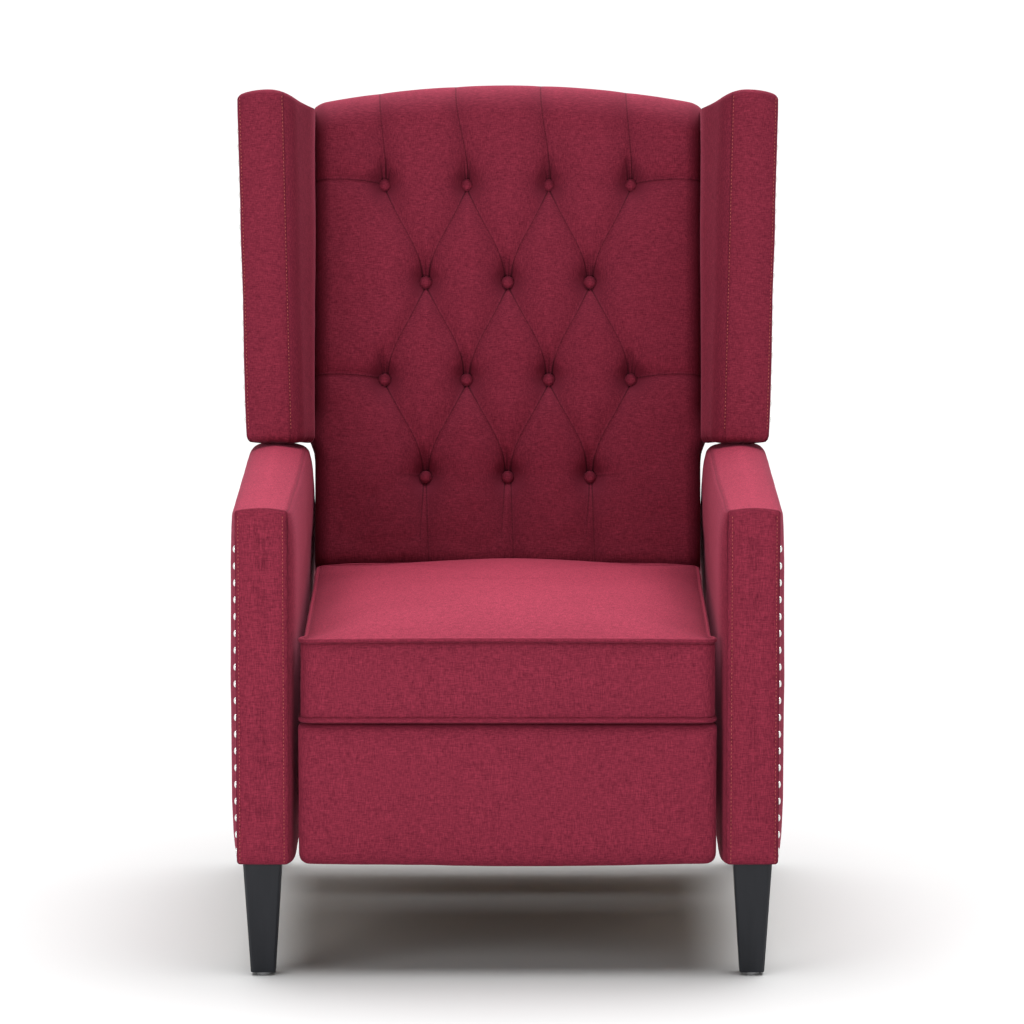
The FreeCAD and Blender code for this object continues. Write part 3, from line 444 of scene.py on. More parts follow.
def arm_cover():
    # rings from the front panel to the rear, with the marks for the painted shade along the front seam
    # and the top seam, and for the raised ridge beside it
    rings = []
    front_seam = []
    top_seam = []
    ridge = []

    def add(y, inset, away):
        ring = arm_ring(y, inset)
        corner = np.array(ring[arm_seam_at])
        top = arm_crest(y)
        for p in ring:
            drop = top - p[2]
            # side is how dark the painted shade along the front seam is: strongest on the inner side near
            # the top, less on the outer side and along the top
            side = 0.30
            if p[0] < panel_in + 0.012:
                side = 0.20 + 0.55 * math.exp(-max(0.0, drop - 0.02) / 0.05)
            elif p[0] > panel_out - 0.012:
                side = 0.62
            if drop < 0.004:
                side = 0.22
            front_seam.append((away, side))
            gap = float(np.linalg.norm(np.array(p) - corner))
            if p[0] < corner[0]:
                gap = -gap
            # strong is how dark the painted shade along the top seam is; the ridge's negative strength only
            # raises a bump and paints nothing
            strong = 0.42 * ease((y - arm_front - 0.001) / 0.006)
            top_seam.append((gap, strong if abs(gap) < 0.02 else 0.0))
            ridge.append((gap - 0.0046, -strong if abs(gap) < 0.02 else 0.0))
        rings.append(ring)

    for inset, back in ((0.030, -0.0010), (0.021, -0.0010), (0.012, -0.0008), (0.0065, -0.0003),
                        (0.0040, 0.0002), (0.0022, 0.0007), (0.0010, 0.0012), (0.0, 0.0018)):
        add(arm_front + 0.001 + back, inset, -inset)
    depths = [0.0045, 0.0065, 0.0090, 0.0120, 0.0155, 0.0195, 0.0245, 0.031, 0.040, 0.052, 0.067]
    depths += list(np.linspace(0.084, arm_rear - arm_front - 0.014, 48))
    for depth in depths:
        add(arm_front + depth, 0.0, depth - 0.0028)
    for inset, back in ((0.0, 0.006), (0.0006, 0.003), (0.0022, 0.001), (0.006, 0.0), (0.014, -0.0004),
                        (0.030, -0.0008)):
        add(arm_rear - back, inset, 0.5)
    cover = skin("right_arm_linen", rings)
    places = [p for ring in rings for p in ring]
    mark(cover, "front_seam", places, front_seam)
    mark(cover, "top_seam", places, top_seam)
    mark(cover, "top_ridge", places, ridge)
    crumple(cover, 0.11, 0.0005, 2)
    crumple(cover, 0.028, 0.0002, 5)
    return cover


# the arm covers' linen, with painted shade along the front and top seams
seam_shaded_linen = linen_material("crimson_linen_seam_shade", ("front_seam", "top_seam", "top_ridge"))
right_arm = arm_cover()
left_arm = flipped(right_arm, "left_arm_linen")
dress(right_arm, seam_shaded_linen, "fabric", "base", "right_arm_cover")
dress(left_arm, seam_shaded_linen, "fabric", "base", "left_arm_cover")


# Legs: solid hardwood, tapered mostly on the inner side, stained near black and satin lacquered.
# Each is screwed up into the arm frame on a hanger bolt and stands on a nail-on glide.
def leg_material():
    material = wood_material("dark_lacquered_wood", (0.015, 0.0165, 0.021), (0.010, 0.011, 0.0145), 0.42,
                             (1.0, 1.0, 0.10))
    set_inputs(material.node_tree.nodes["Principled BSDF"], Specular_IOR_Level=0.28)
    return material


def eased_solid(node, name, flat, width, sharp):
    # a copy of a CAD solid: faces within flat degrees are joined, and arrises over sharp degrees are eased
    copy = nodes[node].data.copy()
    settle(copy, 0.00002)
    piece = placed(name, copy)
    work = bmesh.new()
    work.from_mesh(copy)
    bmesh.ops.dissolve_limit(work, angle_limit=math.radians(flat), verts=work.verts, edges=work.edges)
    work.to_mesh(copy)
    work.free()
    soften = piece.modifiers.new("eased arrises", "BEVEL")
    soften.width = width
    soften.segments = 3
    soften.limit_method = "ANGLE"
    soften.angle_limit = math.radians(sharp)
    soften.harden_normals = True
    return piece


def plain_material(name, colour, **finish):
    # one colour and finish all over
    material, _, shader = new_material(name)
    set_inputs(shader, Base_Color=(*colour, 1), **finish)
    return material


lacquer = leg_material()
for node in ("front_left_leg", "front_right_leg", "rear_left_leg", "rear_right_leg"):
    dress(eased_solid(node, node + "_wood", 2, 0.0018, 25), lacquer, "leg_wood", "base", node)
glide_metal = plain_material("nickel_glide", (0.42, 0.42, 0.43), Metallic=0.7, Roughness=0.35)
finish_nodes(glide_metal, "glide", "leg_glides")


# Mechanism: pressed steel rails, links, brackets and pins, zinc plated and then painted dark.
# The links and pins ride on their own bodies and the plates are bolted to the timber.
def steel_material(name, colour, metallic, roughness):
    material, tree, shader = new_material(name)
    place = tree.nodes.new("ShaderNodeTexCoord")
    scuff = add_node(tree, "ShaderNodeTexNoise", Scale=45.0, Detail=5.0, Roughness=0.6)
    spread = add_node(tree, "ShaderNodeMapRange", To_Min=roughness - 0.08, To_Max=roughness + 0.10)
    wire(tree, (place, "Object", scuff, "Vector"), (scuff, "Fac", spread, "Value"),
         (spread, "Result", shader, "Roughness"))
    set_inputs(shader, Base_Color=(*colour, 1), Metallic=metallic)
    return material


plated = steel_material("dark_plated_steel", (0.16, 0.165, 0.17), 0.85, 0.42)
finish_nodes(plated, "mechanism_steel", "left_base_rail", "right_base_rail", "front_swing_links",
             "rear_swing_links", "left_seat_plate", "right_seat_plate", "left_back_bracket",
             "right_back_bracket", "ottoman_front_links", "ottoman_inner_links", "ottoman_outer_links",
             "ottoman_rear_links", "footrest_brackets")
bright = steel_material("zinc_pin_steel", (0.52, 0.52, 0.50), 0.95, 0.32)
finish_nodes(bright, "pin_steel", "base_pins", "seat_pins", "front_link_pins", "outer_link_pins",
             "footrest_pins", "leg_bolts")


# Webbing: woven elastic straps, stretched and stapled over the seat rails and the back posts.
# Black polyester with a fine twill rib across each strap.
def webbing_material():
    material, tree, shader = new_material("black_webbing")
    place = tree.nodes.new("ShaderNodeTexCoord")
    rib = add_node(tree, "ShaderNodeTexWave", Scale=260.0)
    rib.bands_direction = "DIAGONAL"
    bump = add_node(tree, "ShaderNodeBump", Strength=0.4, Distance=0.0005)
    wire(tree, (place, "Object", rib, "Vector"), (rib, "Fac", bump, "Height"),
         (bump, "Normal", shader, "Normal"))
    set_inputs(shader, Base_Color=(0.03, 0.03, 0.032, 1), Roughness=0.8)
    return material


strap = webbing_material()
finish_nodes(strap, "webbing", "seat_webbing", "back_webbing")


# Rear apron: a board wrapped in the same linen that joins the two arms across the back.
# It is screwed to the rear ends of the arms below the reclining back.
apron_low, apron_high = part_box("rear_apron")


def apron_ring(x, inset):
    # the wrapped board in section, with its arrises rounded by the linen
    corners = [(apron_low.y, apron_low.z), (apron_high.y, apron_low.z), (apron_high.y, apron_high.z),
               (apron_low.y, apron_high.z)]
    loop = rounded_loop(drawn_in(corners, inset), [max(0.005 - inset, 0.001)] * 4, (3, 14, 3, 14))
    return [(x, p[0], p[1]) for p in loop]


def apron_cover():
    # rings from the left end to the right one
    left, right = apron_low.x, apron_high.x
    rings = [apron_ring(left, 0.004), apron_ring(left + 0.0008, 0.0015), apron_ring(left + 0.003, 0.0)]
    rings += [apron_ring(x, 0.0) for x in np.linspace(left + 0.014, right - 0.014, 50)]
    rings += [apron_ring(right - 0.003, 0.0), apron_ring(right - 0.0008, 0.0015), apron_ring(right, 0.004)]
    cover = skin("rear_apron_linen", rings)
    crumple(cover, 0.09, 0.0006, 9)
    return cover


dress(apron_cover(), linen, "fabric", "base", "rear_apron")


# Seat cushion: a foam box crowned by its fibre wrap, in a sewn cover with boxed sides.
# Piping is sewn into the seams round the top and the bottom panel.
seat_low, seat_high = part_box("seat_cushion")
seat_half = 0.2503
piping = 0.0030
panel_low = seat_low.z + 0.0035
panel_top = seat_low.z + 0.1002
seat_front = seat_low.y + 0.0012
seat_back = seat_high.y - 0.0015
seat_corner = 0.016


def seat_loop(inset, height, lift=None, share=0.0):
    # share runs from the bottom seam to the top one, which draws in and sinks along the arms
    if lift:
        share = 1.0
    long_run = seat_back - seat_front
    corners = [(-seat_half, seat_front), (seat_half, seat_front),
               (seat_half, seat_back), (-seat_half, seat_back)]
    loop = rounded_loop(drawn_in(corners, inset), [max(seat_corner - inset, 0.004)] * 4, (46, 52, 46, 52))
    out = []
    for x, y in loop:
        rise = 0.0
        edge = min(1.0, abs(x) / seat_half)
        run = (y - seat_front) / long_run
        beside = share * ease((run - 0.015) / 0.11) * edge ** 6
        if lift:
            # the crown is high in the middle and stays up towards the back, but its rear corners fall away
            across = 0.82 * (1 - edge ** 2) + 0.18 * (1 - edge ** 16)
            rise = lift * across * float(np.interp(run, [0, 0.1, 0.28, 0.55, 0.8, 0.94, 1],
                                                   [0.22, 0.50, 0.86, 1.0, 0.95, 0.72, 0.5]))
            rise -= 0.15 * max(0.0, abs(x) / seat_half - 0.80) * max(0.0, run - 0.86)
            # along the arms the filling swells up beside the seam
            rise += 0.0105 * ease((run - 0.03) / 0.24) * edge ** 7 * (1 - math.exp(-inset / 0.007))
        sink = 0.0065 * (1 - 1.3 * ease((run - 0.72) / 0.24))
        out.append((x * (1 - 0.024 * beside), y, height + rise - sink * beside))
    return out


def pad_by_pressure(piece, seams, pressure, cap, frames=20):
    # blows the cover up as its filling does: the seams hold, and no point goes further than cap
    held = piece.vertex_groups.new(name="seams")
    held.add(seams, 1.0, "REPLACE")
    before = np.array([v.co for v in piece.data.vertices])
    cloth = piece.modifiers.new("filling", "CLOTH")
    cloth.settings.quality = 5
    cloth.settings.mass = 0.3
    cloth.settings.tension_stiffness = 18
    cloth.settings.compression_stiffness = 18
    cloth.settings.shear_stiffness = 8
    cloth.settings.bending_stiffness = 1.2
    cloth.settings.use_pressure = True
    cloth.settings.uniform_pressure_force = pressure
    cloth.settings.vertex_group_mass = "seams"
    cloth.settings.effector_weights.gravity = 0
    cloth.collision_settings.use_collision = False
    cloth.point_cache.frame_end = frames
    scene = bpy.context.scene
    for step in range(1, frames + 1):
        scene.frame_set(step)
    shaped = piece.evaluated_get(bpy.context.evaluated_depsgraph_get())
    after = np.array([v.co for v in shaped.data.vertices])
    piece.modifiers.remove(cloth)
    scene.frame_set(1)
    move = after - before
    length = np.linalg.norm(move, axis=1)
    share = np.where(length > 1e-9, cap * np.tanh(length / cap) / np.maximum(length, 1e-9), 0.0)
    for v, p in zip(piece.data.vertices, before + move * share[:, None]):
        v.co = p
    piece.data.update()


def seat_cover():
    # rings from the middle of the bottom panel, up the boxed sides, to the middle of the top panel
    rings = []
    for inset in (0.235, 0.20, 0.16, 0.12, 0.085, 0.055, 0.032, 0.016, 0.007):
        rings.append(seat_loop(inset, panel_low))
    first_seam = len(rings)
    rings.append(seat_loop(0.0018, panel_low + 0.0012))
    for share in np.linspace(0.0, 1.0, 17)[1:-1]:
        rings.append(seat_loop(0.0008, panel_low + (panel_top - panel_low) * share, None, share))
    second_seam = len(rings)
    rings.append(seat_loop(0.0018, panel_top - 0.0012, 0.0085))
    for inset in (0.005, 0.010, 0.017, 0.025, 0.034, 0.044, 0.055, 0.067, 0.080, 0.094, 0.108, 0.123, 0.138,
                  0.153, 0.168, 0.183, 0.198, 0.213, 0.227, 0.238):
        rings.append(seat_loop(inset, panel_top - 0.0006, 0.028 * min(1.0, 0.35 + inset / 0.07)))
    cover = skin("seat_cushion_linen", rings)
    count = len(rings[0])
    seams = list(range((first_seam + 1) * count))
    seams += list(range(second_seam * count, (second_seam + 1) * count))
    return cover, seams


seat_pad, seat_seams = seat_cover()
pad_by_pressure(seat_pad, seat_seams, pressure=1.2, cap=0.006)
crumple(seat_pad, 0.10, 0.0012, 3)
dress(seat_pad, linen, "fabric", "seat", "seat_cushion")


def cord_loop(name, path, radius, sides=8):
    # a round cord along a closed path of points
    path = [Vector(p) for p in path]
    points = []
    for i, p in enumerate(path):
        along = (path[(i + 1) % len(path)] - path[i - 1]).normalized()
        up = Vector((0, 0, 1)) if abs(along.z) < 0.9 else Vector((0, 1, 0))
        side = along.cross(up).normalized()
        over = side.cross(along)
        for k in range(sides):
            a = 2 * math.pi * k / sides
            points.append(tuple(p + side * (math.cos(a) * radius) + over * (math.sin(a) * radius)))
    return sewn(name, points, bands(len(path), sides, closed=True))


for name, height, lift in (("seat_piping_low", panel_low, None), ("seat_piping_top", panel_top, 0.0085)):
    cord = cord_loop(name, seat_loop(0.0012, height, lift), piping)
    dress(cord, linen, "fabric", "seat")


# Footrest: a plywood board under foam, wrapped in linen that is turned over the edge and stapled.
# Its lower corners are rounded and its lower edge bows a little between them.
foot_low, foot_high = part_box("footrest_pad")


def foot_ring(inset, y):
    # the panel's outline, bowed down along its lower edge
    half = foot_high.x - 0.0006
    low = foot_low.z + 0.0006
    high = foot_high.z - 0.0006
    corners = [(-half, low), (half, low), (half, high), (-half, high)]
    radii = [max(0.014 - inset, 0.003)] * 2 + [max(0.006 - inset, 0.002)] * 2
    loop = rounded_loop(drawn_in(corners, inset), radii, (60, 20, 60, 20))
    out = []
    for x, z in loop:
        if z < (low + high) / 2:
            z -= 0.0030 * (1 - (x / half) ** 2)
        out.append((x, y, z))
    return out


def foot_cover():
    # rings from the rear face, round the edge, to the padded front
    back = foot_high.y
    front = foot_low.y
    rings = [foot_ring(0.03, back), foot_ring(0.004, back), foot_ring(0.0015, back - 0.0004)]
    rings += [foot_ring(0.0, y) for y in np.linspace(back - 0.002, front + 0.0075, 5)]
    for inset, lift in ((0.0007, 0.0048), (0.0022, 0.0026), (0.0048, 0.0012), (0.0085, 0.0002),
                        (0.014, -0.0006), (0.022, -0.0012), (0.032, -0.0017), (0.044, -0.0021),
                        (0.058, -0.0023), (0.072, -0.0024)):
        rings.append(foot_ring(inset, front + 0.0008 + lift))
    cover = skin("footrest_linen", rings)
    crumple(cover, 0.09, 0.0010, 7)
    crumple(cover, 0.03, 0.0003, 4)
    return cover


foot_pad = foot_cover()
dress(foot_pad, linen, "fabric", "footrest", "footrest_pad")


# Tufted back: deep foam and fibre under one piece of linen, drawn through to the webbing
# by fourteen buttons, with the spare cloth folded into pleats from button to button.
lean = math.radians(11)
hinge_line = Vector((0, 0.2397, 0.4166))


def lay_back(points):
    # from the upright back (x across, y to the rear, z up the slope) to the leaning one
    p = np.array(points, float)
    c, s = math.cos(lean), math.sin(lean)
    out = np.empty_like(p)
    out[..., 0] = p[..., 0]
    out[..., 1] = hinge_line.y + p[..., 1] * c + p[..., 2] * s
    out[..., 2] = hinge_line.z - p[..., 1] * s + p[..., 2] * c
    return out


pad_half = 0.2492
pad_face = 0.0690
pad_foot = -0.0265
pad_rear = -0.0016
crown_rear = 0.0435
crown_rear_from = 0.566
crown_top = 0.6100
shoulder = 0.5853
button_column = 0.053
button_rows = [0.4775, 0.3513, 0.2252, 0.0990]
row_columns = ((-3, -1, 1, 3), (-2, 0, 2))
buttons = [(c * button_column, z) for i, z in enumerate(button_rows) for c in row_columns[i % 2]]


def pleat_layers():
    # every fold as points (x, z, depth), in layers whose folds keep clear of each other
    layers = {"fold_right": [], "fold_left": [], "fold_edge": [],
              "crease_a": [], "crease_b": [], "crease_c": []}

    def fold(layer, x, z, deep):
        layers[layer].append(np.stack([x, z, deep], 1))

    for i in range(3):
        for a in row_columns[i % 2]:
            for b in row_columns[1 - i % 2]:
                if abs(a - b) != 1:
                    continue
                # leaves the upper button at a slant and comes down onto the lower one from above
                t = np.linspace(0, 1, 41)
                side = b - a
                wander = 0.0016 * math.sin(a * 2.1 + i * 1.7 + b)
                bend = t * (1 + 0.30 * (1 - t)) - 0.055 * np.sin(math.pi * t * 2) * 0.6
                bend = np.minimum(bend, 1.0) - 0.07 * t ** 6
                x = (a + side * bend) * button_column + wander * np.sin(math.pi * t)
                z = button_rows[i] - 0.005 + (button_rows[i + 1] + 0.005 - button_rows[i] + 0.005) * t
                fold("fold_right" if side > 0 else "fold_left", x, z, 0.60 + 0.40 * np.abs(2 * t - 1) ** 2.4)
    t = np.linspace(0, 1, 31)
    for c, top_shift in ((-3, -0.0075), (-1, -0.0150), (1, -0.0110), (3, -0.0065)):
        # from the top row up over the crest
        swing = np.clip((t - 0.06) / 0.60, 0, 1)
        x = c * button_column + top_shift * swing * swing * (3 - 2 * swing) + 0.0015 * (1 - t)
        z = button_rows[0] + (0.66 - button_rows[0]) * t
        fold("fold_edge", x, z, 1.0 - 0.35 * np.sin(math.pi * np.minimum(t * 1.1, 1)))
    for c in (-2, 0, 2):
        # a pair from each button of the lowest row down to the seat
        for side, layer in ((-1, "fold_left"), (1, "fold_right")):
            x = c * button_column + side * (0.0022 + 0.0045 * t) + 0.002 * math.sin(c + side)
            z = button_rows[3] - 0.005 - (button_rows[3] + 0.03) * t * (1.0 if side > 0 else 0.55)
            fold(layer, x, z, 0.8 - 0.45 * t)
    for row in (0, 2):
        # from the outermost buttons to the wings
        for side in (-1, 1):
            x = side * (3 * button_column + 0.004 + (pad_half - 3 * button_column) * t)
            z = button_rows[row] + 0.002 + 0.009 * np.sin(math.pi * 0.62 * t) - 0.006 * t
            fold("fold_edge", x, z, 0.75 - 0.25 * t)
    t = np.linspace(0, 1, 15)
    for side in (-1, 1):
        x = side * (2 * button_column + 0.006 + 0.040 * t)
        fold("fold_edge", x, button_rows[3] + 0.002 + 0.003 * t, 0.45 * (1 - t) ** 1.2)
    for i, (bx, bz) in enumerate(buttons):
        # short creases above each button, fanning out from it
        for k, layer in enumerate(("crease_a", "crease_b", "crease_c")):
            length = 0.020 + 0.020 * (0.5 + 0.5 * math.sin(i * 2.6 + k * 2.1))
            fan = (k - 1) * 0.0042 + 0.0016 * math.sin(i * 1.3 + k)
            x = bx + fan * (0.75 + 0.9 * t ** 1.5)
            fold(layer, x, bz + 0.004 + length * t, 0.85 * (1 - t) ** 0.8)
    return layers


def near(line, x, z):
    # signed distance from each point to a polyline, and the fold's depth at the nearest place
    best = np.full(x.shape, 1e9)
    depth = np.zeros(x.shape)
    for a, b in zip(line[:-1], line[1:]):
        dx, dz = b[0] - a[0], b[1] - a[1]
        t = np.clip(((x - a[0]) * dx + (z - a[1]) * dz) / (dx * dx + dz * dz), 0, 1)
        off_x, off_z = x - a[0] - t * dx, z - a[1] - t * dz
        d = np.hypot(off_x, off_z)
        closer = d < np.abs(best)
        best = np.where(closer, np.where(dx * off_z - dz * off_x >= 0, d, -d), best)
        depth = np.where(closer, a[2] + (b[2] - a[2]) * t, depth)
    return best, depth


folds = pleat_layers()


def layer_field(name, x, z):
    # offset to the nearest fold of a layer, and its strength
    offset = np.full(x.shape, 1.0)
    depth = np.zeros(x.shape)
    for line in folds[name]:
        d, deep = near(line, x, z)
        closer = np.abs(d) < np.abs(offset)
        offset = np.where(closer, d, offset)
        depth = np.where(closer, deep, depth)
    return offset, depth


def pad_height(x, z):
    # how far the cover stands in front of the rear face of the padding
    broad = np.zeros(x.shape)
    fold = np.zeros(x.shape)
    for name in folds:
        offset, depth = layer_field(name, x, z)
        d = np.abs(offset)
        if not name.startswith("crease"):
            broad = np.maximum(broad, depth * np.exp(-(d / 0.014) ** 1.4))
        fold = np.maximum(fold, depth * np.exp(-(d / 0.0024) ** 2))
    height = pad_face - 0.0062 * broad - 0.0016 * fold
    for bx, bz in buttons:
        # a dimple that reaches a little higher above its button, with one soft hollow running up from it
        r = np.hypot(x - bx, (z - bz - 0.0008) * 0.94)
        height -= 0.0130 * np.exp(-(r / 0.0130) ** 2) + 0.0048 * np.exp(-(r / 0.030) ** 2)
        hollow = 0.0036 * np.exp(-((x - bx + 0.003) / 0.0065) ** 2)
        height -= hollow * np.exp(-((z - bz - 0.022) / 0.014) ** 2)
    return height


def crest(x):
    # the top edge of the back, an arc over the whole width
    drop = crown_top - shoulder
    corner = np.clip((np.abs(x) - pad_half + 0.016) / 0.016, 0, 1)
    return crown_top - drop * (x / pad_half) ** 2 - 0.0034 * corner ** 2


def pad_side(z):
    # half the width: squeezed between the arms, and bulging out over them below the wings
    return np.interp(z, [0.112, 0.120, 0.130, 0.140, 0.150, 0.165, 0.185, 0.540, 0.590],
                     [0.2487, 0.2489, 0.2500, 0.2536, 0.2574, 0.2538, 0.2492, 0.2492, 0.2516])


def rolled(gap, reach, depth, fullness):
    # how far the cover rolls back within reach of an edge
    t = np.clip(1 - gap / reach, 0, 1)
    return depth * (1 - np.sqrt(1 - t ** 2 * fullness))


def tufted_cover():
    # a fine grid over the padded face, turned over the crest, joined to the flat rear face along its border
    across, up = 196, 236
    x = pad_half * np.linspace(-1, 1, across)
    share = np.linspace(0, 1, up)
    grid_x = np.repeat(x[None, :], up, 0)
    grid_z = pad_foot + share[:, None] * (crest(x)[None, :] - pad_foot)
    grid_x = grid_x * (pad_side(grid_z) / pad_half)
    front = pad_height(grid_x, grid_z)
    for iz in range(up):
        for ix in range(across):
            p = Vector((grid_x[iz, ix], 0.3, grid_z[iz, ix]))
            front[iz, ix] += 0.0014 * noise.noise(p / 0.07) + 0.0006 * noise.noise(p / 0.022)
    side_gap = np.maximum(0.0, np.repeat(pad_half - np.abs(x)[None, :], up, 0))
    front -= rolled(side_gap, 0.021, 0.019, 0.96)
    front -= rolled(crest(x)[None, :] - grid_z, 0.042, 0.052, 0.985)
    front -= rolled(grid_z - pad_foot, 0.030, 0.020, 0.96)
    points = np.stack([grid_x, -front, grid_z], -1)
    rows = [points[i] for i in range(up)]
    # over the crest and down behind it
    for depth, drop in ((0.000, 0.0002), (0.012, 0.0010), (0.024, 0.0020), (0.034, 0.0040), (0.0415, 0.009),
                        (crown_rear, 0.020)):
        row = points[-1].copy()
        row[:, 1] = depth
        row[:, 2] -= drop
        rows.append(row)
    verts = np.array(rows)
    count = len(rows)
    faces = []
    for i in range(count - 1):
        for j in range(across - 1):
            a = i * across + j
            faces.append((a, a + 1, a + 1 + across, a + across))
    # the border runs along the foot, up the right side, back along the top and down the left side
    border = list(range(across))
    border += [i * across + across - 1 for i in range(1, count)]
    border += [(count - 1) * across + j for j in range(across - 2, -1, -1)]
    border += [i * across for i in range(count - 2, 0, -1)]
    upright = verts.reshape(-1, 3)
    rear_edge = []
    for k in border:
        p = upright[k].copy()
        p[1] = crown_rear if p[2] > crown_rear_from else pad_rear
        if abs(p[0]) > 0.24 and p[2] < 0.150:
            # the rear edge stays clear of the arms while the back leans
            half = np.interp(p[2], [0.112, 0.120, 0.130, 0.140, 0.150],
                             [0.2485, 0.2487, 0.2491, 0.2510, 0.2545])
            p[0] = math.copysign(half, p[0])
        rear_edge.append(p)
    base = len(upright)
    flat = [tuple(p) for p in lay_back(verts).reshape(-1, 3)] + [tuple(p) for p in lay_back(rear_edge)]
    for n in range(len(border)):
        m = (n + 1) % len(border)
        faces.append((border[n], border[m], base + m, base + n))
    faces.append(tuple(range(base, base + len(border))))
    mesh = bpy.data.meshes.new("back_cushion_linen")
    mesh.from_pydata(flat, [], faces)
    work = bmesh.new()
    work.from_mesh(mesh)
    bmesh.ops.triangulate(work, faces=[f for f in work.faces if len(f.verts) > 4])
    work.to_mesh(mesh)
    work.free()
    settle(mesh, 0.00002)
    return placed("back_cushion_linen", mesh)


def mark_folds(piece):
    # gives each point its offset from the nearest fold of each layer, and the fold's strength there, which
    # sets the bump and how dark the painted shade along the fold is
    points = np.array([v.co for v in piece.data.vertices])
    slope = (points[:, 1] - hinge_line.y) * math.sin(lean) + (points[:, 2] - hinge_line.z) * math.cos(lean)
    for name in folds:
        offset, depth = layer_field(name, points[:, 0], slope)
        near_line = np.clip(1.6 - np.abs(offset) / 0.006, 0, 1)
        keep_marks(piece, name, np.stack([offset, depth * near_line], 1))


back_pad = tufted_cover()
mark_folds(back_pad)
# the back's linen, with painted shade along every pleat and crease
pleat_shaded_linen = linen_material("crimson_linen_pleat_shade", tuple(folds))
dress(back_pad, pleat_shaded_linen, "fabric", "back", "back_cushion")


# Tuft buttons: pressed metal shells covered in the same linen, each tied through the padding.
# The cover's edge is drawn tight round the shell, so it shows as a smooth low dome.
button_radius = 0.0082
button_height = 0.0046
button_proud = 0.0044


def button_dome(radius, height, rings=7, sides=28):
    # rings from the rim, which is drawn under, to the middle
    profile = [(radius * 0.86, -0.0025)]
    for i in range(rings - 1):
        a = math.pi / 2 * i / (rings - 1)
        profile.append((radius * math.cos(a) ** 0.8, height * math.sin(a)))
    profile.append((0.0001, height))
    turns = [2 * math.pi * k / sides for k in range(sides)]
    return np.array([[(r * math.cos(t), -h, r * math.sin(t)) for t in turns] for r, h in profile])


def tuft_buttons():
    # each sits a little proud of the bottom of its dimple
    points = []
    faces = []
    dome = button_dome(button_radius, button_height)
    rows, sides = dome.shape[:2]
    for bx, bz in buttons:
        level = float(pad_height(np.array([bx]), np.array([bz]))[0])
        base = len(points)
        laid = lay_back(dome + np.array([bx, -(level + button_proud), bz]))
        points += [tuple(p) for p in laid.reshape(-1, 3)]
        faces += bands(rows, sides, base)
        faces.append(tuple(range(base, base + sides)))
        faces.append(tuple(range(base + (rows - 1) * sides, base + rows * sides)))
    return sewn("tuft_buttons_linen", points, faces, 0.000001)


dress(tuft_buttons(), linen, "fabric", "back", "tuft_buttons")


# Wings: plywood ears padded all round, with a flat front panel between two seams.
# The inner side rolls back to the cushion and the foot of the cover is gathered and tacked.
wing_low, wing_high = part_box("right_wing")
wing_in = wing_low.x - 0.0015
wing_out = wing_high.x + 0.0010
wing_foot = 0.1479
wing_top = 0.5890
wing_front = -0.169
wing_flare = 0.0125
wing_panel = 0.0635
frame_depth = 0.045
wing_rise = 0.006 / 0.214
wing_arc = 9
wing_runs = (12, 8, 10, 22, 8)
wing_seam_at = 2 * wing_arc + sum(wing_runs[:2]) + 7


def wing_crest(x):
    # height of the top edge across the wing, on the upright back
    at = [wing_in] + [wing_out - back for back in (0.086, 0.076, 0.066, 0.052, 0.038, 0.022, 0.006, 0.0)]
    drop = [0.0196, 0.0166, 0.0112, 0.0058, 0.0012, -0.0004, 0.0010, 0.0048, 0.0078]
    return wing_top - float(np.mean(np.interp(x + np.linspace(-0.007, 0.007, 7), at, drop)))


def wing_plan(share, inset):
    # the outline at a share of the height: inner side, rolled front corner, flat front panel, outer side
    outer = wing_out - wing_flare * (1 - share)
    seam = outer - wing_panel
    corners = [(wing_in + 0.0004, frame_depth - 0.0005), (wing_in + 0.0004, -0.106),
               (seam - 0.007, wing_front + 0.0008), (outer, wing_front + 0.001),
               (outer, frame_depth - 0.0005)]
    radii = [max(r - inset * 0.6, 0.003) for r in (0.006, 0.085, 0.022, 0.0055, 0.006)]
    loop = rounded_loop(drawn_in(corners, inset), radii, wing_runs, wing_arc)
    for p in loop:
        if p[1] < wing_front + 0.02 and seam < p[0] < outer:
            across = (p[0] - (seam + outer) / 2) / ((outer - seam) / 2)
            p[1] -= 0.0022 * max(0.0, 1 - across ** 2)
    return loop


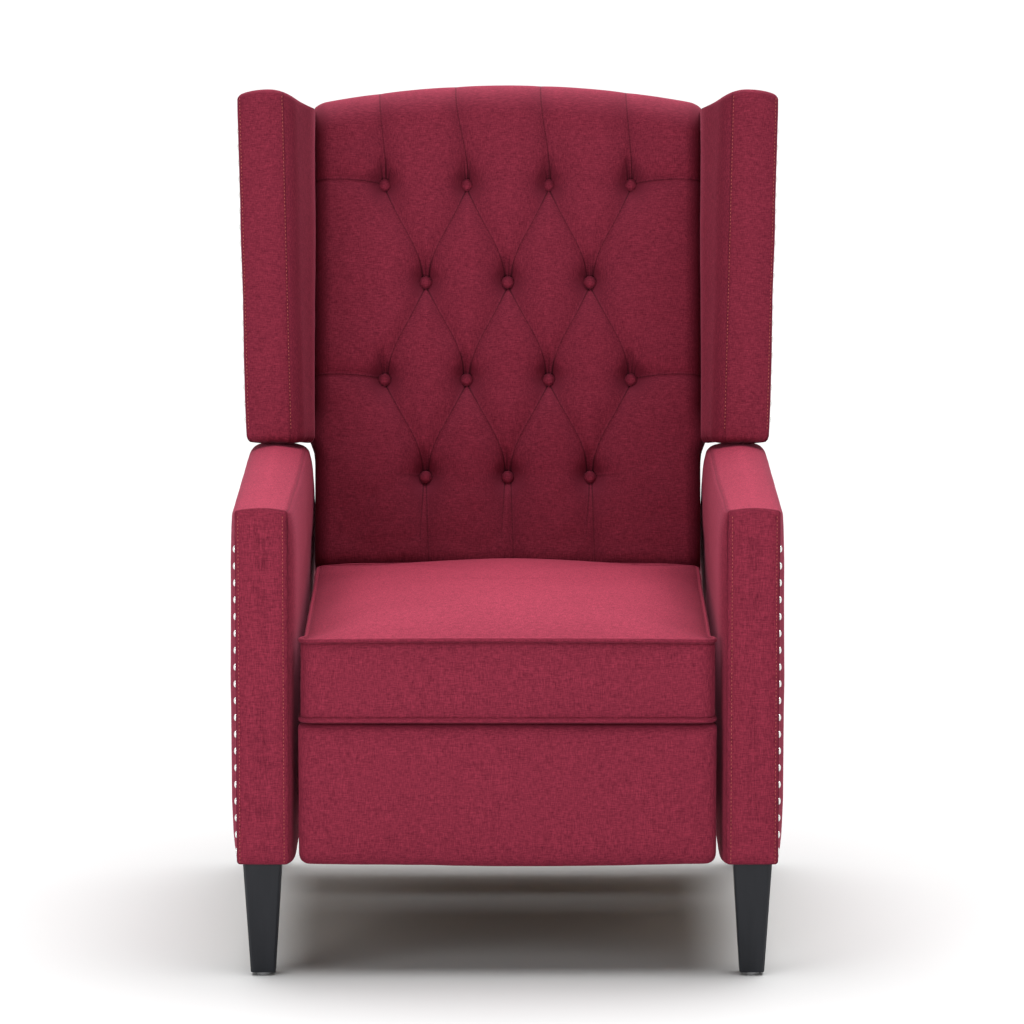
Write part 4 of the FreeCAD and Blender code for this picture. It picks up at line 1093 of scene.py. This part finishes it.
def wing_cover():
    # rings up the wing from its gathered foot to its closed top, with the marks for the painted shade along
    # the seam
    rings = []
    seam = []

    def level(share, inset, pull, gather=0.0, shut=0.0):
        # one ring at a share of the height, drawn in by inset, moved up by pull, and shut towards a spine
        ring = []
        for k, (x, y) in enumerate(wing_plan(share, inset)):
            if share == 1.0:
                # the inner end is not drawn in, so the top closes against the cushion
                x -= inset * ease(1 - (x - wing_in - inset) / 0.03)
            top = wing_crest(x)
            # the foot hangs lower in front, and along the inner side beside the cushion
            hang = max(0.0098 * ease((-0.088 - y) / 0.062),
                       0.0085 * ease((0.268 - x) / 0.012) * ease((-0.030 - y) / 0.045))
            z = wing_foot - hang + share * (top - wing_foot + hang) + wing_rise * (y - wing_front) + pull
            z -= hang * shut * (1 - share) * 0.9
            ruck = gather * (math.sin(k * 1.9) + 0.6 * math.sin(k * 3.7 + 1))
            spine_x = (wing_in + wing_out) / 2 - 0.004
            spine_y = min(max(y, wing_front + 0.045), frame_depth - 0.045)
            ring.append((x + (spine_x - x) * shut, y + (spine_y - y) * shut + ruck, z + ruck))
        laid = lay_back(np.array(ring))
        corner = laid[wing_seam_at]
        for p in laid:
            gap = float(np.linalg.norm(p - corner)) * (1 if p[0] > corner[0] else -1)
            # 0.42 is how dark the painted shade along the seam is
            seam.append((gap, 0.42 if abs(gap) < 0.02 and shut == 0 else 0.0))
        rings.append(laid)

    for shut, pull in ((0.94, 0.0045), (0.6, 0.0040), (0.3, 0.0022)):
        level(0.0, 0.010, pull, 0.0004, shut)
    for inset, pull in ((0.0085, 0.0002), (0.0045, 0.0008), (0.0016, 0.0035), (0.0, 0.0080)):
        level(0.0, inset, pull, 0.0006)
    for share in np.linspace(0.045, 0.955, 46):
        level(share, 0.0, 0.0)
    for angle in (15, 32, 48, 62, 76, 90):
        a = math.radians(angle)
        level(1.0, 0.0075 * (1 - math.cos(a)), 0.0075 * (math.sin(a) - 1) + 0.0004)
    for shut in (0.10, 0.25, 0.5, 0.75, 0.94):
        level(1.0, 0.0075, 0.0006 + 0.002 * math.sin(shut * math.pi / 2), 0.0, shut)
    cover = skin("right_wing_linen", rings)
    mark(cover, "wing_seam", [p for ring in rings for p in ring], seam)
    crumple(cover, 0.085, 0.0011, 6)
    crumple(cover, 0.03, 0.0004, 8)
    return cover


right_wing = wing_cover()
left_wing = flipped(right_wing, "left_wing_linen")
# the wings' linen, with painted shade along the front seam
wing_linen = linen_material("crimson_linen_wing_seam_shade", ("wing_seam",))
dress(right_wing, wing_linen, "fabric", "back", "right_wing")
dress(left_wing, wing_linen, "fabric", "back", "left_wing")


# Outside back: a cardboard-stiffened linen panel, blind-tacked along the top and the sides.
# Below the wings it narrows and turns round the posts.
outside = eased_solid("outside_back", "outside_back_linen", 1, 0.0022, 40)
dress(outside, linen, "fabric", "back", "outside_back")
finish_nodes(linen, "fabric", "left_back_post", "right_back_post")


# Decorative nails: pearl-nickel domes hammered through the cover on a marked line,
# down the outer front edge of each arm and each wing.
nail_radius = 0.0046
nail_height = 0.0027
nail_sunk = 0.0007


def islands(node):
    # the middle of each loose solid in a CAD node, from the lowest to the highest
    work = bmesh.new()
    work.from_mesh(nodes[node].data)
    bmesh.ops.remove_doubles(work, verts=work.verts, dist=0.00001)
    left = set(work.verts)
    found = []
    for first in work.verts:
        if first not in left:
            continue
        left.remove(first)
        front = [first]
        part = []
        while front:
            v = front.pop()
            part.append(v.co.copy())
            for e in v.link_edges:
                o = e.other_vert(v)
                if o in left:
                    left.remove(o)
                    front.append(o)
        found.append(sum(part, Vector()) / len(part))
    work.free()
    return sorted(found, key=lambda p: p.z)


def nail_shape(radius, height):
    # a low dome on a short rim that is sunk into the cover
    sides, rows = 16, 5
    turns = [2 * math.pi * k / sides for k in range(sides)]
    points = []
    for i in range(rows):
        a = math.pi / 2 * i / rows
        wide = radius * math.cos(a)
        points += [(wide * math.cos(t), wide * math.sin(t), height * math.sin(a)) for t in turns]
    points.append((0, 0, height))
    points += [(radius * math.cos(t), radius * math.sin(t), -0.0006) for t in turns]
    faces = bands(rows, sides)
    tip = rows * sides
    for k in range(sides):
        faces.append(((rows - 1) * sides + k, (rows - 1) * sides + (k + 1) % sides, tip))
        faces.append((tip + 1 + k, tip + 1 + (k + 1) % sides, (k + 1) % sides, k))
    faces.append(tuple(tip + 1 + k for k in range(sides)))
    return sewn("nail_head_shape", points, faces)


def repeat_tree(name, with_curve):
    # puts a copy of one shape on every point, turned by the point's own direction
    tree = bpy.data.node_groups.new(name, "GeometryNodeTree")
    for label, kind in (("Geometry", "Geometry"), ("Shape", "Object"), ("Finish", "Material"),
                        ("Pitch", "Float")):
        tree.interface.new_socket(label, in_out="INPUT", socket_type="NodeSocket" + kind)
    tree.interface.new_socket("Geometry", in_out="OUTPUT", socket_type="NodeSocketGeometry")
    source = tree.nodes.new("NodeGroupInput")
    result = tree.nodes.new("NodeGroupOutput")
    shape = tree.nodes.new("GeometryNodeObjectInfo")
    place = tree.nodes.new("GeometryNodeInstanceOnPoints")
    real = tree.nodes.new("GeometryNodeRealizeInstances")
    paint = tree.nodes.new("GeometryNodeSetMaterial")
    wire(tree, (source, "Shape", shape, "Object"), (shape, "Geometry", place, "Instance"))
    if with_curve:
        curve = tree.nodes.new("GeometryNodeMeshToCurve")
        even = tree.nodes.new("GeometryNodeCurveToPoints")
        even.mode = "LENGTH"
        wire(tree, (source, "Geometry", curve, "Mesh"), (curve, "Curve", even, "Curve"),
             (source, "Pitch", even, "Length"), (even, "Points", place, "Points"),
             (even, "Rotation", place, "Rotation"))
    else:
        facing = tree.nodes.new("GeometryNodeInputNamedAttribute")
        facing.data_type = "FLOAT_VECTOR"
        set_inputs(facing, Name="facing")
        turn = tree.nodes.new("FunctionNodeAlignRotationToVector")
        turn.axis = "Z"
        wire(tree, (facing, "Attribute", turn, "Vector"), (source, "Geometry", place, "Points"),
             (turn, "Rotation", place, "Rotation"))
    wire(tree, (place, "Instances", real, "Geometry"), (real, "Geometry", paint, "Geometry"),
         (source, "Finish", paint, "Material"), (paint, "Geometry", result, "Geometry"))
    return tree


def repeated(name, points, edges, tree, shape, finish, pitch=0.0, facings=None):
    # runs the tree on the points and keeps the result as one plain mesh
    mesh = bpy.data.meshes.new(name + "_line")
    mesh.from_pydata([tuple(p) for p in points], edges, [])
    if facings is not None:
        facing = mesh.attributes.new("facing", "FLOAT_VECTOR", "POINT")
        for i, d in enumerate(facings):
            facing.data[i].vector = d
    line = placed(name + "_line", mesh)
    repeat = line.modifiers.new("repeat", "NODES")
    repeat.node_group = tree
    values = {"Shape": shape, "Finish": finish, "Pitch": pitch}
    for item in tree.interface.items_tree:
        if item.item_type == "SOCKET" and item.in_out == "INPUT" and item.name in values:
            repeat[item.identifier] = values[item.name]
    graph = bpy.context.evaluated_depsgraph_get()
    baked = bpy.data.meshes.new_from_object(line.evaluated_get(graph), depsgraph=graph)
    baked.name = name
    line.modifiers.remove(repeat)
    bpy.data.objects.remove(line)
    return placed(name, baked)


pearl = plain_material("pearl_nickel", (0.80, 0.79, 0.77), Metallic=0.9, Roughness=0.22)
nail_head = nail_shape(nail_radius, nail_height)
nail_tree = repeat_tree("nails_on_points", False)
bpy.context.view_layer.update()
for side, sign in (("left", -1), ("right", 1)):
    for part, body, cover in (("arm", "base", right_arm), ("wing", "back", right_wing)):
        node = side + "_" + part + "_nails"
        spots = []
        facings = []
        for p in islands(node):
            # sunk a little into the right-hand cover, whose place and facing are mirrored on the left
            _, where, normal, _ = cover.ray_cast(Vector((0.45, p.y, p.z)), Vector((-1, 0, 0)))
            out = (Vector((1, 0, 0)) * 0.7 + normal * 0.3).normalized()
            spots.append(Vector((where.x * sign, where.y, where.z)) - Vector((nail_sunk * sign, 0, 0)))
            facings.append(Vector((out.x * sign, out.y, out.z)))
        row = repeated(node + "_pearl", spots, [], nail_tree, nail_head, pearl, facings=facings)
        row.data.shade_smooth()
        dress(row, pearl, "nail_metal", body, node)


# Topstitching: a visible lockstitch in rust-red thread a few millimetres inside each seam
# of the arm fronts and the wing fronts.
stitch_length = 0.0025
stitch_pitch = 0.0046
thread_width = 0.0008


def stitch_shape(length, width, sides=5):
    # one stitch, thinner at the ends where it dips into the cloth
    points = []
    for share, fat in ((-0.5, 0.25), (-0.3, 1.0), (0.3, 1.0), (0.5, 0.25)):
        for k in range(sides):
            t = math.pi * 2 * k / sides
            points.append((math.cos(t) * width / 2 * fat, math.sin(t) * width / 2 * fat, share * length))
    faces = bands(4, sides) + [tuple(range(sides)), tuple(range(3 * sides, 4 * sides))]
    return sewn("one_stitch_shape", points, faces)


def seam_path(cover, starts, direction):
    # the points where rays from the starts meet the cover, lifted by part of a thread
    path = []
    for start in starts:
        hit, where, normal, _ = cover.ray_cast(Vector(start), Vector(direction))
        if hit:
            path.append(where + normal * 0.0002)
    return path


def arm_seams():
    # two lines up the right arm's front panel
    lines = []
    for x in (panel_in + 0.0052, panel_out - 0.0040):
        starts = [(x, arm_front - 0.05, z) for z in np.linspace(arm_foot + 0.004, arm_top - 0.006, 70)]
        lines.append(seam_path(right_arm, starts, (0, 1, 0)))
    return lines


def wing_seams():
    # two lines up the right wing's front panel, square to the leaning back
    lines = []
    for inside in (wing_panel - 0.0062, 0.0034):
        starts = []
        for share in np.linspace(0.02, 0.985, 80):
            outer = wing_out - wing_flare * (1 - share)
            x = outer - inside
            z = wing_foot + share * (wing_crest(x) - wing_foot)
            starts.append(tuple(lay_back(np.array([x, wing_front - 0.05, z]))))
        lines.append(seam_path(right_wing, starts, (0, math.cos(lean), -math.sin(lean))))
    return lines


def stitched(name, lines, body):
    # the right-hand lines and their mirrored twins
    points = []
    edges = []
    for sign in (1, -1):
        for line in lines:
            base = len(points)
            points += [(p.x * sign, p.y, p.z) for p in line]
            edges += [(base + i, base + i + 1) for i in range(len(line) - 1)]
    row = repeated(name, points, edges, stitch_tree, one_stitch, thread, stitch_pitch)
    dress(row, thread, "fabric", body)


thread = plain_material("rust_thread", (0.44, 0.085, 0.065), Roughness=0.6)
bpy.context.view_layer.update()
one_stitch = stitch_shape(stitch_length, thread_width)
stitch_tree = repeat_tree("stitches_on_seam", True)
stitched("arm_stitches", arm_seams(), "base")
stitched("wing_stitches", wing_seams(), "back")
for spare in (nail_head, one_stitch):
    bpy.data.objects.remove(spare)


# Studio: a white floor, a wide soft light overhead and a fill on each side, the left one stronger.
# The camera stands far off at the photograph's height and looks slightly down.
def studio():
    reach = 60.0
    mesh = bpy.data.meshes.new("floor")
    mesh.from_pydata([(-reach, -reach, 0), (reach, -reach, 0), (reach, reach, 0), (-reach, reach, 0)], [],
                     [(0, 1, 2, 3)])
    white = plain_material("white_floor", (0.52, 0.52, 0.52), Roughness=0.9, Specular_IOR_Level=0.0)
    mesh.materials.append(white)
    placed("floor", mesh)

    # the world is white to the camera and in reflections, and a low fill on everything else
    world = bpy.data.worlds.new("studio")
    world.use_nodes = True
    bpy.context.scene.world = world
    tree = world.node_tree
    path = tree.nodes.new("ShaderNodeLightPath")
    seen = reckon(tree, "MAXIMUM", (path, "Is Camera Ray"), (path, "Is Glossy Ray"))
    seen = reckon(tree, "MAXIMUM", (seen, 0), (path, "Is Transmission Ray"))
    level = add_node(tree, "ShaderNodeMapRange", To_Min=0.10, To_Max=1.0)
    back = tree.nodes["Background"]
    set_inputs(back, Color=(1, 1, 1, 1))
    wire(tree, (seen, 0, level, "Value"), (level, "Result", back, "Strength"))

    above = bpy.data.lights.new("sky_panel", "SUN")
    above.angle = math.radians(70)
    above.energy = 6.3
    hung = placed("sky_panel", above)
    hung.rotation_euler = Vector((0.05, 0.20, 1.0)).to_track_quat("Z", "Y").to_euler()
    for name, side, power in (("left_fill", -1, 33), ("right_fill", 1, 10)):
        lamp = bpy.data.lights.new(name, "AREA")
        lamp.shape = "SQUARE"
        lamp.size = 1.8
        lamp.energy = power
        light = placed(name, lamp)
        light.location = (side * 2.0, -2.3, 1.2)
        light.rotation_euler = (Vector((0, 0, 0.6)) - light.location).to_track_quat("-Z", "Y").to_euler()


studio()
focal_pixels = 6347
image_pixels = 1024
looking_down = 8.6
camera_data = bpy.data.cameras.new("photo_camera")
camera_data.sensor_width = 36.0
camera_data.lens = camera_data.sensor_width * focal_pixels / image_pixels
camera = placed("photo_camera", camera_data)
camera.location = (0.0054, -7.904, 1.705)
camera.rotation_euler = (math.radians(90 - looking_down), 0, 0)
bpy.context.scene.camera = camera
bpy.context.scene.view_settings.view_transform = "Standard"

bpy.context.view_layer.update()
